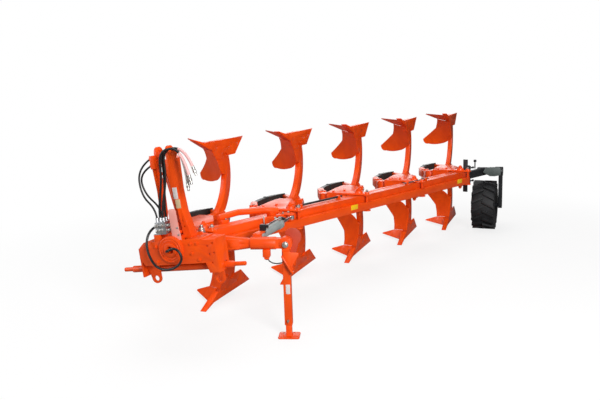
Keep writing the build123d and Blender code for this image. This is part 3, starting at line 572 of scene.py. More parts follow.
@dataclass(frozen=True)
class RubberFinish:
    """Vulcanised rubber with a matt moulded skin and a little dust in its grain."""

    name: str
    colour: str
    dust: str
    roughness: float = 0.62
    grain_mm: float = 12.0

    def material(self) -> bpy.types.Material:
        """Makes the material."""
        material, shader, place = bare_material(self.name)
        tree = material.node_tree
        tree.links.new(
            blend_colours(material, grain(material, place, 60, 4), 0.4, 0.75, self.colour, self.dust),
            shader.inputs["Base Color"],
        )
        shader.inputs["Roughness"].default_value = self.roughness
        bump = add_node(
            material, "ShaderNodeBump", inputs={"Strength": 0.15, "Distance": 0.0008},
            links=[(grain(material, place, self.grain_mm), "Height")],
        )
        tree.links.new(bump.outputs["Normal"], shader.inputs["Normal"])
        return material


@dataclass(frozen=True)
class PlasticFinish:
    """Moulded plastic or printed film, one even colour with faint rub marks."""

    name: str
    colour: str
    roughness: float = 0.4

    def material(self) -> bpy.types.Material:
        """Makes the material."""
        material, shader, place = bare_material(self.name)
        shader.inputs["Base Color"].default_value = linear(self.colour)
        # rub marks about 20 mm across
        marks = grain(material, place, 20)
        rough = range_of(material, marks, self.roughness - 0.05, self.roughness + 0.1)
        material.node_tree.links.new(rough, shader.inputs["Roughness"])
        return material


# red-orange topcoat of the frame: a strong warm red with pale gloss on what faces up
RED_PAINT = PaintFinish("red_machinery_paint", "#f2530b", "#e64806")
# the same paint on the pressed mouldboards and shares, smoother and glossier
BOARD_PAINT = PaintFinish("red_mouldboard_paint", "#fc5408", "#f04b05", 0.36, 0.0, 0.16)
# the same paint in a dull coat on rough flame-cut plate, its red darkened as painted shade for the stand's guard
# plate, which the light reaches less
SHADE_DARKENED_RED = PaintFinish("red_paint_darkened_as_shade", "#c4482f", "#b23e27", 0.5, 0.05)
# the same paint, lightened to pale pink as a painted highlight, on the guard plate before the turnover cylinder
PAINTED_HIGHLIGHT_RED = PaintFinish("red_paint_with_painted_highlight", "#e8a398", "#e08f82", 0.42)
# chassis black on the wheel's frame and rim
BLACK_PAINT = PaintFinish("black_chassis_paint", "#1b1d20", "#25272b", 0.42, 0.2)
# pale grey enamel of the width cylinder
GREY_ENAMEL = PaintFinish("grey_cylinder_enamel", "#9aa19f", "#8b9290", 0.32, 0.3)
# oil-quenched spring steel under a dark primer
SPRING_PRIMER = PaintFinish("dark_spring_primer", "#262c2c", "#2f3635", 0.5, 0.1)
# wheel hub and its bracket, cast iron under grey-green paint
CAST_GREY = PaintFinish("grey_green_casting_paint", "#5d6664", "#4e5755", 0.5, 0.1)
# zinc-plated bolts: pale and slightly dull
ZINC = MetalFinish("zinc_plated_steel", "#c9c7c2", 0.34)
# ground and chromed rods: near mirror
CHROME = MetalFinish("chromed_rod_steel", "#d8d8da", 0.16)
# die-cast alloy of the valve block
ALLOY = MetalFinish("die_cast_aluminium", "#b9bbbe", 0.42, 8)
# hose cover: smooth black rubber
HOSE_RUBBER = RubberFinish("hose_rubber", "#090a0b", "#0f1011", 0.45, 14)
# hard nylon spiral that guards the sleeved hose, greyer where it shines
SPIRAL_NYLON = PlasticFinish("black_spiral_nylon", "#1c1f20", 0.28)
# tyre: matt black that greys in the light
TYRE_RUBBER = RubberFinish("tyre_rubber", "#17181a", "#222327", 0.62, 16)
# colour sleeves over the ends of the parked hoses
PALE_SLEEVE = PlasticFinish("pale_marker_sleeve", "#ddd6d2", 0.38)
ROSE_SLEEVE = PlasticFinish("rose_marker_sleeve", "#e9b3b1", 0.38)
# blank printed films
WHITE_FILM = PlasticFinish("white_label_film", "#d9d3d1", 0.34)
BEIGE_FILM = PlasticFinish("beige_label_film", "#cdb98f", 0.34)
YELLOW_FILM = PlasticFinish("yellow_reflector_film", "#f8c51b", 0.22)

Finish = PaintFinish | MetalFinish | RubberFinish | PlasticFinish


class Finishes:
    """Materials of the plough, each made when a piece first needs it."""

    def __init__(self) -> None:
        """Starts with no material made."""
        self.made: dict[Finish, bpy.types.Material] = {}

    def of(self, finish: Finish) -> bpy.types.Material:
        """Gives the material of a finish."""
        if finish not in self.made:
            self.made[finish] = finish.material()
        return self.made[finish]


# Frame pieces with worked edges

NODE_BODY = {node: body for body, nodes in frame["record"]["behaviour"]["bodies"].items() for node in nodes}


def worked_edges(
    node: str, material: bpy.types.Material, edge: float = 0.003, cutters: Sequence[bpy.types.Object] = ()
) -> bpy.types.Object:
    """Stands a copy of a CAD node with rounded edges in its place.

    Args:
        node: the CAD node.
        material: its finish.
        edge: width of the rounded edges.
        cutters: pieces that are drilled out of the copy.

    Returns:
        The copy.
    """
    source = frame["nodes"][node]
    copy = bpy.data.objects.new(f"{node}_worked", source.data.copy())
    bpy.context.scene.collection.objects.link(copy)
    copy.matrix_world = source.matrix_world.copy()
    pick(copy)
    bpy.ops.object.mode_set(mode="EDIT")
    bpy.ops.mesh.select_all(action="SELECT")
    bpy.ops.mesh.remove_doubles(threshold=0.00002)
    bpy.ops.mesh.dissolve_limited(angle_limit=math.radians(0.6))
    bpy.ops.object.mode_set(mode="OBJECT")
    settle(copy, f"{node}_worked")
    for cutter in cutters:
        apply_modifier(copy, "BOOLEAN", operation="DIFFERENCE", object=cutter, solver="EXACT")
        bpy.data.objects.remove(cutter)
    if edge:
        round_corners(copy, edge, 38, use_clamp_overlap=True)
    smooth(copy, 32)
    finish_piece(copy, NODE_BODY[node], material)
    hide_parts(node)
    return copy


def dress(node: str, material: bpy.types.Material) -> None:
    """Gives a CAD node its finish as it is."""
    obj = frame["nodes"][node]
    obj.data.materials.clear()
    obj.data.materials.append(material)
    log.info("%s keeps its CAD shape", node)


def paint_where(
    obj: bpy.types.Object, material: bpy.types.Material, inside: Callable[[Vector], bool]
) -> None:
    """Gives the faces of a piece whose middles pass a test a second finish.

    Args:
        obj: the piece.
        material: the second finish.
        inside: tells whether a face's middle gets it.
    """
    obj.data.materials.append(material)
    last = len(obj.data.materials) - 1
    for face in obj.data.polygons:
        if inside(face.center):
            face.material_index = last


def on_node(node: str, start: Vector, way: Vector) -> tuple[Vector, Vector]:
    """Meets the worked copy of a CAD node along a line.

    Args:
        node: the CAD node.
        start: where the line begins.
        way: its direction.

    Returns:
        The first point met and the surface's outward direction there.
    """
    bpy.context.view_layer.update()
    met, place, normal, _ = bpy.data.objects[f"{node}_worked"].ray_cast(start, way.normalized())
    if not met:
        raise ValueError(f"nothing of {node} lies before {tuple(start)}")
    return place, normal


def plate(
    outline: Sequence[tuple[float, float]], origin: Vector, x_way: Vector, y_way: Vector, thick: float,
    edge: float = 0.003,
) -> bpy.types.Object:
    """Flame-cut plate: a disc of vertices set to the outline, extruded and rounded.

    Args:
        outline: corners, counted along x_way and y_way.
        origin: where both are zero.
        x_way: direction of the first number.
        y_way: direction of the second number.
        thick: thickness, from the outline towards x_way across y_way.
        edge: width of the rounded edges.

    Returns:
        The plate.
    """
    deselect_all()
    bpy.ops.mesh.primitive_circle_add(vertices=len(outline), radius=1, fill_type="NGON")
    made = bpy.context.object
    for vertex, (x, y) in zip(made.data.vertices, outline):
        vertex.co = origin + x_way * x + y_way * y
    bpy.ops.object.mode_set(mode="EDIT")
    bpy.ops.mesh.select_all(action="SELECT")
    out = x_way.cross(y_way).normalized() * thick
    bpy.ops.mesh.extrude_region_move(TRANSFORM_OT_translate={"value": out})
    bpy.ops.mesh.select_all(action="SELECT")
    bpy.ops.mesh.normals_make_consistent(inside=False)
    bpy.ops.object.mode_set(mode="OBJECT")
    if edge:
        round_corners(made, edge, 60)
    smooth(made, 35)
    return made


def bent_rod(points: Sequence[Vector], radius: float) -> list[bpy.types.Object]:
    """Rod bent at points, with a ball in each bend.

    Args:
        points: its ends and bends.
        radius: its radius.

    Returns:
        Its stretches and balls.
    """
    made = [rod(a, b, radius, 16, radius * 0.2) for a, b in zip(points, points[1:])]
    for place in points[1:-1]:
        deselect_all()
        bpy.ops.mesh.primitive_uv_sphere_add(segments=16, ring_count=10, radius=radius * 1.02, location=place)
        ball = bpy.context.object
        smooth(ball, 60)
        made.append(ball)
    return made


def skin(
    name: str, vertices: Sequence[Vector], faces: Sequence[tuple[int, ...]]
) -> bpy.types.Object:
    """Closed smooth mesh of points and faces.

    Args:
        name: its name.
        vertices: its points.
        faces: the points of each face.

    Returns:
        The piece.
    """
    mesh = bpy.data.meshes.new(name)
    mesh.from_pydata(vertices, [], faces)
    made = bpy.data.objects.new(name, mesh)
    bpy.context.scene.collection.objects.link(made)
    pick(made)
    bpy.ops.object.mode_set(mode="EDIT")
    bpy.ops.mesh.select_all(action="SELECT")
    bpy.ops.mesh.normals_make_consistent(inside=False)
    bpy.ops.object.mode_set(mode="OBJECT")
    smooth(made, 40)
    return made


def carry(across: Vector | None, way: Vector) -> Vector:
    """Carries the direction across a line on to its next stretch."""
    return way.orthogonal().normalized() if across is None else (across - way * across.dot(way)).normalized()


def around(across: Vector, way: Vector, turn: float) -> Vector:
    """Direction out of a line at an angle round it."""
    return across * math.cos(turn) + way.cross(across) * math.sin(turn)


@dataclass
class Assembly:
    """What every sub-assembly shares: the materials and the ways to put a piece in place."""

    finishes: Finishes

    def work(
        self, node: str, finish: Finish, edge: float = 0.003, cutters: Sequence[bpy.types.Object] = ()
    ) -> bpy.types.Object:
        """Works the edges of a CAD node in a finish."""
        return worked_edges(node, self.finishes.of(finish), edge, cutters)

    def put(
        self, parts: Sequence[bpy.types.Object], name: str, body: str, finish: Finish, slot_name: str
    ) -> bpy.types.Object:
        """Joins parts to one finished piece on a body."""
        return finish_piece(join(parts, name), body, self.finishes.of(finish))


@dataclass
class PloughBody(Assembly):
    """One body: bracket, legs, mouldboards, shares, landsides and springs, over and under the beam."""

    number: int
    cheek_face: float = 0.012
    plate_face: float = 0.117
    before_boards: float = -1.20
    pivot: tuple[float, float] = (0.245, -1.330)
    knuckle_ahead: float = 0.112
    spring_eye: tuple[float, float] = (-0.262, -1.120)
    trunnion: tuple[float, float] = (-0.520, 0.787)

    def build(self) -> None:
        """Builds the whole body."""
        for node, finish, edge in (
            ("leg_bracket", RED_PAINT, 0.003), ("legs", RED_PAINT, 0.009),
            ("mouldboards", BOARD_PAINT, 0.002), ("shares", BOARD_PAINT, 0.002),
            ("landsides", RED_PAINT, 0.002), ("springs", SPRING_PRIMER, 0.0015),
        ):
            self.work(f"{node}_{self.number}", finish, edge)
        self.red_bolts()
        self.bright_bolts()
        self.board_bolts()
        self.spring_clips()
        self.spring_caps()

    def spring_caps(self) -> None:
        """Adds the housing over the springs' front end, its round caps and its pins."""
        n = self.number
        height = self.trunnion[1]
        housing = body_point(n, -0.322, -0.985, height)
        caps = [block(housing, (0.250, 0.078, 0.126), Vector((-0.415, 0.910, 0)), UP, 0.022)]
        pins = []
        for upper in (False, True):
            way = UP if upper else -UP
            for x, y, radius in ((*self.spring_eye, 0.044), (-0.175, -1.265, 0.058)):
                foot = body_point(n, x, y, height - 0.057, upper)
                caps.append(rod(foot, foot + way * 0.014, radius, 40, 0.005))
            eye = body_point(n, *self.spring_eye, height - 0.071, upper)
            pins.append(rod(eye - way * 0.002, eye + way * 0.003, 0.016, 24, 0.001))
        self.put(caps, f"spring_caps_{n}", f"body_{n}", RED_PAINT, "red_paint")
        self.put(pins, f"spring_pins_{n}", f"body_{n}", SPRING_PRIMER, "spring_steel")

    def red_bolts(self) -> None:
        """Places the bolts and nuts that are painted over."""
        n = self.number
        bolts = FastenerSet(f"body_{n}_bolts")
        for upper in (False, True):
            down = 1 if upper else -1
            for y in (-0.715, -0.640):
                place = body_point(n, self.cheek_face, y, AXIS_Z - HEEL.z + 0.030 * down)
                bolts.add(Fastener.HEX, 0.013, place, LAND_SIDE)
            # x, y, depth under the trunnion, kind and size
            for x, y, depth, kind, size in (
                (-0.160, -1.300, 0.058, Fastener.HEX, 0.013),
                (-0.130, -1.270, 0.058, Fastener.HEX, 0.013),
                (-0.160, -1.235, 0.058, Fastener.HEX, 0.013),
                (*self.pivot, self.plate_face, Fastener.STUD, 0.026),
                (-0.060, -1.310, 0.095, Fastener.HEX, 0.014),
                (0.040, -1.210, 0.095, Fastener.HEX, 0.014),
            ):
                place = body_point(n, x, y, self.trunnion[1] - depth, upper)
                bolts.add(kind, size, place, UP * down)
        bolts.build(f"body_{n}", self.finishes.of(RED_PAINT))

    def bright_bolts(self) -> None:
        """Places the plated nuts: on the trunnion's block and the steering knuckle."""
        n = self.number
        bolts = FastenerSet(f"body_{n}_plated_nuts")
        y, z = self.trunnion
        bolts.add(Fastener.STUD, 0.015, body_point(n, 0.048, y, z), LAND_SIDE)
        knuckle = body_point(n, *self.pivot, z) - BEAM_LEFT * self.knuckle_ahead
        bolts.add(Fastener.STUD, 0.017, knuckle + UP * self.plate_face, UP)
        bolts.build(f"body_{n}", self.finishes.of(ZINC))

    def board_bolts(self) -> None:
        """Sets the flat plough bolts into the boards and landsides, flush and painted over."""
        n = self.number
        bolts = FastenerSet(f"board_bolts_{n}")
        for upper in (False, True):
            for y, z in ((-0.560, 0.060), (-0.290, 0.075), (-0.120, 0.060)):
                bolts.add(Fastener.PLOUGH, 0.0088, body_point(n, -0.0035, y, z, upper), LAND_SIDE)
            for node, x, z, size in (
                ("mouldboards", -0.030, 0.150, 0.011), ("mouldboards", -0.045, 0.290, 0.011),
                ("mouldboards", -0.110, 0.120, 0.011), ("mouldboards", -0.180, 0.105, 0.011),
                ("shares", -0.130, 0.045, 0.009), ("shares", -0.230, 0.030, 0.009),
            ):
                before = body_point(n, x, self.before_boards, z, upper)
                place, normal = on_node(f"{node}_{n}", before, -FORWARD)
                bolts.add(Fastener.PLOUGH, size, place - normal * 0.0002, normal)
        bolts.build(f"body_{n}", self.finishes.of(BOARD_PAINT))

    def spring_clips(self) -> None:
        """Wraps the leaf springs in their clips."""
        n = self.number
        clips = []
        for x, y, turn in ((-0.372, -0.880, 103.0), (-0.388, -0.520, 84.0)):
            way = Vector((math.cos(math.radians(turn)), math.sin(math.radians(turn)), 0))
            place = body_point(n, x, y, self.trunnion[1])
            clips.append(block(place, (0.034, 0.066, 0.100), way, UP, 0.004))
        self.put(clips, f"spring_clips_{n}", f"body_{n}", SPRING_PRIMER, "spring_steel")


@dataclass
class Beam(Assembly):
    """Main beam with its brace, steering rod, reflectors and small rods."""

    rod_face: float = -0.1405
    beam_top: float = 0.075
    film: tuple[float, float, float] = (0.115, 0.001, 0.052)
    film_edge: float = 0.0004
    stay_place: tuple[float, float] = (0.78, -0.088)

    def build(self) -> None:
        """Builds the beam's finish and trim."""
        for node, edge in (("main_beam", 0.012), ("beam_brace", 0.002), ("steering_rod", 0.010)):
            self.work(node, RED_PAINT, edge)
        self.reflectors()
        self.rods()
        self.fittings()

    def reflectors(self) -> None:
        """Sticks the blank yellow reflectors on the steering rod's face."""
        films = [
            block(beam_point(along, self.rod_face, up), self.film, BEAM_WAY, UP, self.film_edge)
            for along, up in ((2.055, -0.012), (4.215, -0.014))
        ]
        self.put(films, "beam_reflectors", "steering_rod", YELLOW_FILM, "red_paint")

    def rods(self) -> None:
        """Lays the rods on the beam's top, each in its two clips."""
        bright, dark, clips = [], [], []
        # first and last place along the beam, place to its left and what it is made of
        for start, end, left, bucket in ((1.34, 2.05, 0.030, dark), (3.10, 3.62, -0.045, bright)):
            height = self.beam_top + 0.020
            first, last = beam_point(start, left, height), beam_point(end, left, height)
            bucket.append(rod(first, last, 0.011, 18, 0.002))
            for along in (start + 0.06, end - 0.06):
                place = beam_point(along, left, self.beam_top + 0.015)
                clips.append(block(place, (0.030, 0.040, 0.036), BEAM_WAY, UP, 0.004))
        self.put(bright, "beam_bright_rod", "beam", CHROME, "bright_steel")
        self.put(dark, "beam_dark_rod", "beam", SPRING_PRIMER, "spring_steel")
        self.put(clips, "beam_rod_clips", "beam", RED_PAINT, "red_paint")

    def fittings(self) -> None:
        """Adds the plated bolts in the brace's feet and the stay rod beside the brace."""
        bolts = FastenerSet("beam_bolts")
        for along, left in ((0.422, 0.100), (0.458, 0.070), (0.937, 0.005), (0.973, -0.025)):
            bolts.add(Fastener.HEX, 0.010, beam_point(along, left, self.beam_top + 0.031), UP)
        for along in (1.06, 1.134):
            bolts.add(Fastener.STUD, 0.012, beam_point(along, -0.060, self.beam_top), UP)
        bolts.build("beam", self.finishes.of(ZINC))
        foot, top = beam_point(*self.stay_place, -0.040), beam_point(*self.stay_place, 0.105)
        stay = [rod(foot, top, 0.007, 14, 0.002)]
        stay.append(block(beam_point(self.stay_place[0], -0.080, -0.030), (0.030, 0.012, 0.030), BEAM_WAY, UP, 0.002))
        self.put(stay, "beam_stay_rod", "beam", ZINC, "bright_steel")


@dataclass
class Headstock(Assembly):
    """Frame, hitch shaft, tower and turnover cylinder."""

    frame_face: float = -1.745
    boss_face: float = -1.765
    leg_face: float = -1.660
    leg_holes: tuple[tuple[float, float], ...] = (
        (0.096, 0.216), (0.131, 0.216), (0.106, 0.167), (0.139, 0.170),
    )
    # side and height of the bolts in the frame's face
    frame_bolts: tuple[tuple[float, float], ...] = (
        (-0.235, 0.020), (-0.223, -0.087), (-0.150, 0.030), (-0.155, -0.100),
        (0.190, -0.045), (0.250, 0.035), (0.250, -0.100), (0.190, 0.035),
    )
    guard_face: float = -1.7362

    def build(self) -> None:
        """Builds the headstock's finish and trim."""
        self.work("headstock_frame", RED_PAINT, 0.004)
        drills = [
            rod(head_point(*hole, self.leg_face - 0.02), head_point(*hole, self.leg_face + 0.03), 0.0065, 16)
            for hole in self.leg_holes
        ]
        self.work("headstock_tower", RED_PAINT, 0.003, [*drills, self.leg_cutter()])
        dress("turnover_rod", self.finishes.of(CHROME))
        for node, edge in (
            ("hitch_shaft", 0.003), ("turnover_barrel", 0.002),
            ("turnover_shaft", 0.002), ("front_frame", 0.006),
        ):
            self.work(node, RED_PAINT, edge)
        self.boss()
        self.bolts()
        self.guard()
        self.labels()
        self.pivot_fitting()

    def leg_cutter(self) -> bpy.types.Object:
        """Makes the piece that cuts the right leg's front face back to its slanting inner edge."""
        outline = [
            (0.014, 0.690), (0.040, 0.500), (0.054, 0.400), (0.074, 0.216), (0.084, 0.100), (0.0, 0.100),
            (0.0, 0.690),
        ]
        return plate(outline, head_point(0, 0, self.leg_face + 0.020), HEAD_SIDE, HEAD_UP, 0.040, 0.0)

    def boss(self) -> None:
        """Adds the turned steps on the front of the turnover bearing."""
        rings = [ring(head_point(0, 0, self.boss_face - 0.0010), FORWARD, r, 0.004) for r in (0.101, 0.080)]
        self.put(rings, "boss_rings", "headstock", RED_PAINT, "red_paint")

    def bolts(self) -> None:
        """Places the bolts in the frame's face and on the tower, painted over."""
        bolts = FastenerSet("headstock_bolts")
        for side, up in self.frame_bolts:
            bolts.add(Fastener.HEX, 0.012, head_point(side, up, self.frame_face), FORWARD)
        # side, height, size and depth behind the right leg's face
        for side, up, size, back in (
            (0.062, 0.130, 0.012, 0), (-0.088, 0.300, 0.008, 0.014), (-0.100, 0.600, 0.008, 0.014),
        ):
            bolts.add(Fastener.HEX, size, head_point(side, up, self.leg_face + back), FORWARD)
        bolts.build("headstock", self.finishes.of(RED_PAINT))

    def guard(self) -> None:
        """Adds the pale guard plate that stands on the frame before the turnover cylinder."""
        outline = [
            (0.024, 0.0725), (0.104, 0.0725), (0.104, 0.120), (0.098, 0.150), (0.094, 0.318),
            (0.080, 0.334), (0.034, 0.334), (0.022, 0.318),
        ]
        guard = plate(outline, head_point(0, 0, -1.7300), HEAD_SIDE, HEAD_UP, 0.006, 0.0015)
        # the guard's pale pink is a painted highlight on the frame's red, not faded paint
        self.put([guard], "cylinder_guard", "headstock", PAINTED_HIGHLIGHT_RED, "red_paint")
        bolts = FastenerSet("guard_bolts")
        for up in (0.115, 0.175):
            bolts.add(Fastener.HEX, 0.007, head_point(0.086, up, self.guard_face), FORWARD)
        bolts.build("headstock", self.finishes.of(ZINC))

    def labels(self) -> None:
        """Sticks the blank labels on the tower's right leg."""
        face = self.leg_face - 0.0005
        for name, side, up, width, height, film in (
            ("white", 0.073, 0.452, 0.044, 0.096, WHITE_FILM),
            ("beige", 0.083, 0.362, 0.046, 0.076, BEIGE_FILM),
        ):
            label = block(head_point(side, up, face), (width, 0.001, height), HEAD_SIDE, HEAD_UP, 0.0004)
            self.put([label], f"tower_label_{name}", "headstock", film, "red_paint")

    def pivot_fitting(self) -> None:
        """Adds the plated stack of washers and nut on the front frame, beside the main pivot."""
        # washer, washer, nut and stud
        stack = turned(beam_point(0.028, -0.118, 0.092), UP, (
            (0.014, 0.034, 28, 0.003), (0.010, 0.030, 28, 0.002), (0.018, 0.026, 6, 0.003),
            (0.024, 0.016, 20, 0.003),
        ))
        self.put(stack, "main_pivot_nut", "front_frame", ZINC, "bright_steel")


class HoseEnd(Enum):
    """What a hose ends in."""

    COUPLER = "connector"
    RETURN = "object"


@dataclass(frozen=True)
class HoseRun:
    """One hydraulic hose: its route's points, lateral place, height and y from the first heel."""

    name: str
    end: HoseEnd
    diameter: float
    length: float
    route: tuple[tuple[float, float, float], ...]

    def points(self) -> list[Vector]:
        """Gives the route in the row frame."""
        return [head_point(*place) for place in self.route]


HOSES = (
    HoseRun("parked_hose_1", HoseEnd.COUPLER, 0.019, 0.884, (
        (-0.038, 0.270, -1.728), (-0.038, 0.330, -1.728), (0.052, 0.600, -1.713), (0.060, 0.822, -1.725),
        (0.272, 0.822, -1.725), (0.320, 0.662, -1.729))),
    HoseRun("parked_hose_2", HoseEnd.COUPLER, 0.019, 0.967, (
        (-0.038, 0.270, -1.688), (-0.038, 0.330, -1.688), (0.020, 0.600, -1.693), (0.028, 0.822, -1.703),
        (0.241, 0.822, -1.703), (0.239, 0.545, -1.711))),
    HoseRun("parked_hose_3", HoseEnd.COUPLER, 0.019, 0.937, (
        (-0.068, 0.270, -1.728), (-0.068, 0.330, -1.728), (0.020, 0.600, -1.735), (0.038, 0.822, -1.747),
        (0.254, 0.822, -1.747), (0.288, 0.598, -1.751))),
    HoseRun("loop_hose_1", HoseEnd.RETURN, 0.016, 0.581, (
        (-0.098, 0.755, -1.690), (-0.222, 0.690, -1.706), (-0.214, 0.470, -1.726), (-0.104, 0.345, -1.722),
        (-0.104, 0.270, -1.722))),
    HoseRun("loop_hose_2", HoseEnd.RETURN, 0.016, 0.533, (
        (-0.098, 0.700, -1.690), (-0.216, 0.648, -1.698), (-0.196, 0.480, -1.702), (-0.072, 0.345, -1.688),
        (-0.072, 0.270, -1.688))),
    HoseRun("sleeved_hose", HoseEnd.RETURN, 0.020, 0.999, (
        (-0.156, 0.190, -1.705), (-0.212, 0.158, -1.735), (-0.214, 0.020, -1.795), (-0.122, -0.140, -1.830),
        (0.060, -0.150, -1.845), (0.175, -0.060, -1.855), (0.120, 0.045, -1.862), (0.0, 0.0, -1.866),
        (0.0, 0.0, -1.768))),
)


@dataclass
class Hydraulics(Assembly):
    """Valve block, hoses, couplers and the sleeves on them."""

    valve_low: float = 0.130
    valve_face: float = -1.745
    spiral_pitch: float = 0.013
    spiral_wall: float = 0.0007
    spiral_step: float = 0.0011
    marker_length: float = 0.190
    marker_wall: float = 0.0025

    def build(self) -> None:
        """Builds the valve block and every hose."""
        valve = self.work("valve_block", ALLOY, 0.003)
        foot = head_point(-0.1, self.valve_low, -1.72)
        pick(valve)
        bpy.ops.object.mode_set(mode="EDIT")
        bpy.ops.mesh.select_all(action="SELECT")
        bpy.ops.mesh.bisect(plane_co=foot, plane_no=HEAD_UP)
        bpy.ops.object.mode_set(mode="OBJECT")
        foot_top = foot.dot(HEAD_UP)
        paint_where(valve, self.finishes.of(RED_PAINT), lambda place: place.dot(HEAD_UP) < foot_top)
        self.valve_details()
        for hose in HOSES:
            self.lay(hose, [self.coupler(hose)] if hose.end is HoseEnd.COUPLER else [])

    def coupler(self, hose: HoseRun) -> bpy.types.Object:
        """Makes the quick coupler on the end of a parked hose.

        Args:
            hose: the hose.

        Returns:
            The coupler.
        """
        before, end = hose.points()[-2:]
        way = (end - before).normalized()
        # crimped ferrule, hexagon, sliding collar, groove, nose
        parts = turned(end, way, (
            (0.022, 0.0130, 28, 0.0012), (0.010, 0.0150, 6, 0.0012), (0.020, 0.0148, 32, 0.0012),
            (0.006, 0.0115, 24, 0.0012), (0.022, 0.0098, 24, 0.0012),
        ))
        made = self.put(parts, f"{hose.name}_coupler", "headstock", ZINC, "coupler_plastic")
        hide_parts("hose_couplers")
        return made

    def valve_details(self) -> None:
        """Adds the plugs, spools and caps of the valve block."""
        plug = ((0.010, 0.016, 24, 0.002), (0.014, 0.012, 6, 0.002))
        spool = ((0.030, 0.015, 24, 0.003), (0.012, 0.011, 6, 0.002))
        parts = []
        for side, up in ((-0.100, 0.160), (-0.100, 0.205), (-0.045, 0.205)):
            parts += turned(head_point(side, up, self.valve_face), FORWARD, plug)
        for up in (0.158, 0.200):
            parts += turned(head_point(-0.022, up, -1.705), HEAD_SIDE, spool)
        cap = head_point(-0.068, 0.160, self.valve_face - 0.007)
        parts.append(block(cap, (0.034, 0.016, 0.036), HEAD_SIDE, HEAD_UP, 0.004))
        self.put(parts, "valve_plugs", "headstock", ZINC, "bright_steel")

    def line(self, hose: HoseRun, radius: float) -> bpy.types.Object:
        """Lays a smooth curve along a hose's route.

        Args:
            hose: the hose.
            radius: radius of the curve's tube, 0 for a bare line.

        Returns:
            The curve.
        """
        data = bpy.data.curves.new(f"{hose.name}_run", "CURVE")
        data.dimensions = "3D"
        data.resolution_u = 16
        data.bevel_depth = radius
        data.bevel_resolution = 5
        data.use_fill_caps = True
        spline = data.splines.new("NURBS")
        points = hose.points()
        spline.points.add(len(points) - 1)
        for point, place in zip(spline.points, points):
            point.co = (*place, 1.0)
        spline.order_u = 3
        spline.use_endpoint_u = True
        curve = bpy.data.objects.new(f"{hose.name}_run", data)
        bpy.context.scene.collection.objects.link(curve)
        return curve

    def middle_line(self, hose: HoseRun) -> list[Vector]:
        """Reads the points of a hose's smooth line."""
        bare = self.line(hose, 0.0)
        bpy.context.view_layer.update()
        mesh = bpy.data.meshes.new_from_object(bare)
        places = [vertex.co.copy() for vertex in mesh.vertices]
        bpy.data.objects.remove(bare)
        bpy.data.meshes.remove(mesh)
        return places

    def lay(self, hose: HoseRun, on_it: list[bpy.types.Object]) -> None:
        """Lays a hose with what is on it.

        Args:
            hose: the hose.
            on_it: pieces at its end.
        """
        cover = self.finishes.of(HOSE_RUBBER)
        curve = self.line(hose, hose.diameter / 2)
        curve.data.materials.append(cover)
        places = self.middle_line(hose)
        extras = list(on_it)
        if hose.name == "sleeved_hose":
            extras.append(self.spiral(hose, places))
        elif hose.end is HoseEnd.COUPLER:
            extras.append(self.marker(hose, places))
        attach(curve, "headstock")
        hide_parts(hose.name)
        log.info("%s: hose of %.3f m", hose.name, hose.length)

    def spiral(self, hose: HoseRun, places: list[Vector]) -> bpy.types.Object:
        """Winds the hard guard round the sleeved hose.

        Args:
            hose: the hose.
            places: its middle line.

        Returns:
            The spiral.
        """
        radius, half_width = hose.diameter / 2, self.spiral_pitch * 0.36
        low, high = radius - 0.0002, radius + self.spiral_wall
        section = ((-half_width, low), (-half_width * 0.8, high), (half_width * 0.8, high), (half_width, low))
        vertices, faces = [], []
        across, travelled = None, 0.0
        for a, b in zip(places, places[1:]):
            way = (b - a).normalized()
            across = carry(across, way)
            count = max(1, round((b - a).length / self.spiral_step))
            for k in range(count):
                turn = 2 * math.pi * (travelled + (b - a).length * k / count) / self.spiral_pitch
                out = around(across, way, turn)
                vertices += [a.lerp(b, k / count) + way * along + out * reach for along, reach in section]
            travelled += (b - a).length
        last = len(vertices) - 4
        for first in range(0, last, 4):
            for side in range(4):
                here, after = first + side, first + (side + 1) % 4
                faces.append((here, after, after + 4, here + 4))
        faces += [(3, 2, 1, 0), (last, last + 1, last + 2, last + 3)]
        made = skin("sleeve_spiral", vertices, faces)
        return finish_piece(made, "headstock", self.finishes.of(SPIRAL_NYLON))

    def marker(self, hose: HoseRun, places: list[Vector]) -> bpy.types.Object:
        """Slides the colour sleeve over the hanging end of a parked hose.

        Args:
            hose: the hose.
            places: its middle line.

        Returns:
            The sleeve.
        """
        rose = hose.name != "parked_hose_2"
        left, stretch = self.marker_length, []
        for a, b in zip(places[::-1], places[-2::-1]):
            if left <= 0:
                break
            stretch.append((a, b))
            left -= (a - b).length
        sides, radius = 24, hose.diameter / 2 + self.marker_wall
        vertices, across = [], None
        end = stretch[-1]
        for place, after in [*stretch, (end[1], end[1] * 2 - end[0])]:
            way = (after - place).normalized()
            across = carry(across, way)
            turns = (2 * math.pi * k / sides for k in range(sides))
            vertices += [place + around(across, way, turn) * radius for turn in turns]
        faces = []
        for first in range(0, len(vertices) - sides, sides):
            for k in range(sides):
                here, after = first + k, first + (k + 1) % sides
                faces.append((here, after, after + sides, here + sides))
        faces += [tuple(range(sides))[::-1], tuple(range(len(vertices) - sides, len(vertices)))]
        made = skin(f"{hose.name}_marker", vertices, faces)
        finish = ROSE_SLEEVE if rose else PALE_SLEEVE
        return finish_piece(made, "headstock", self.finishes.of(finish))


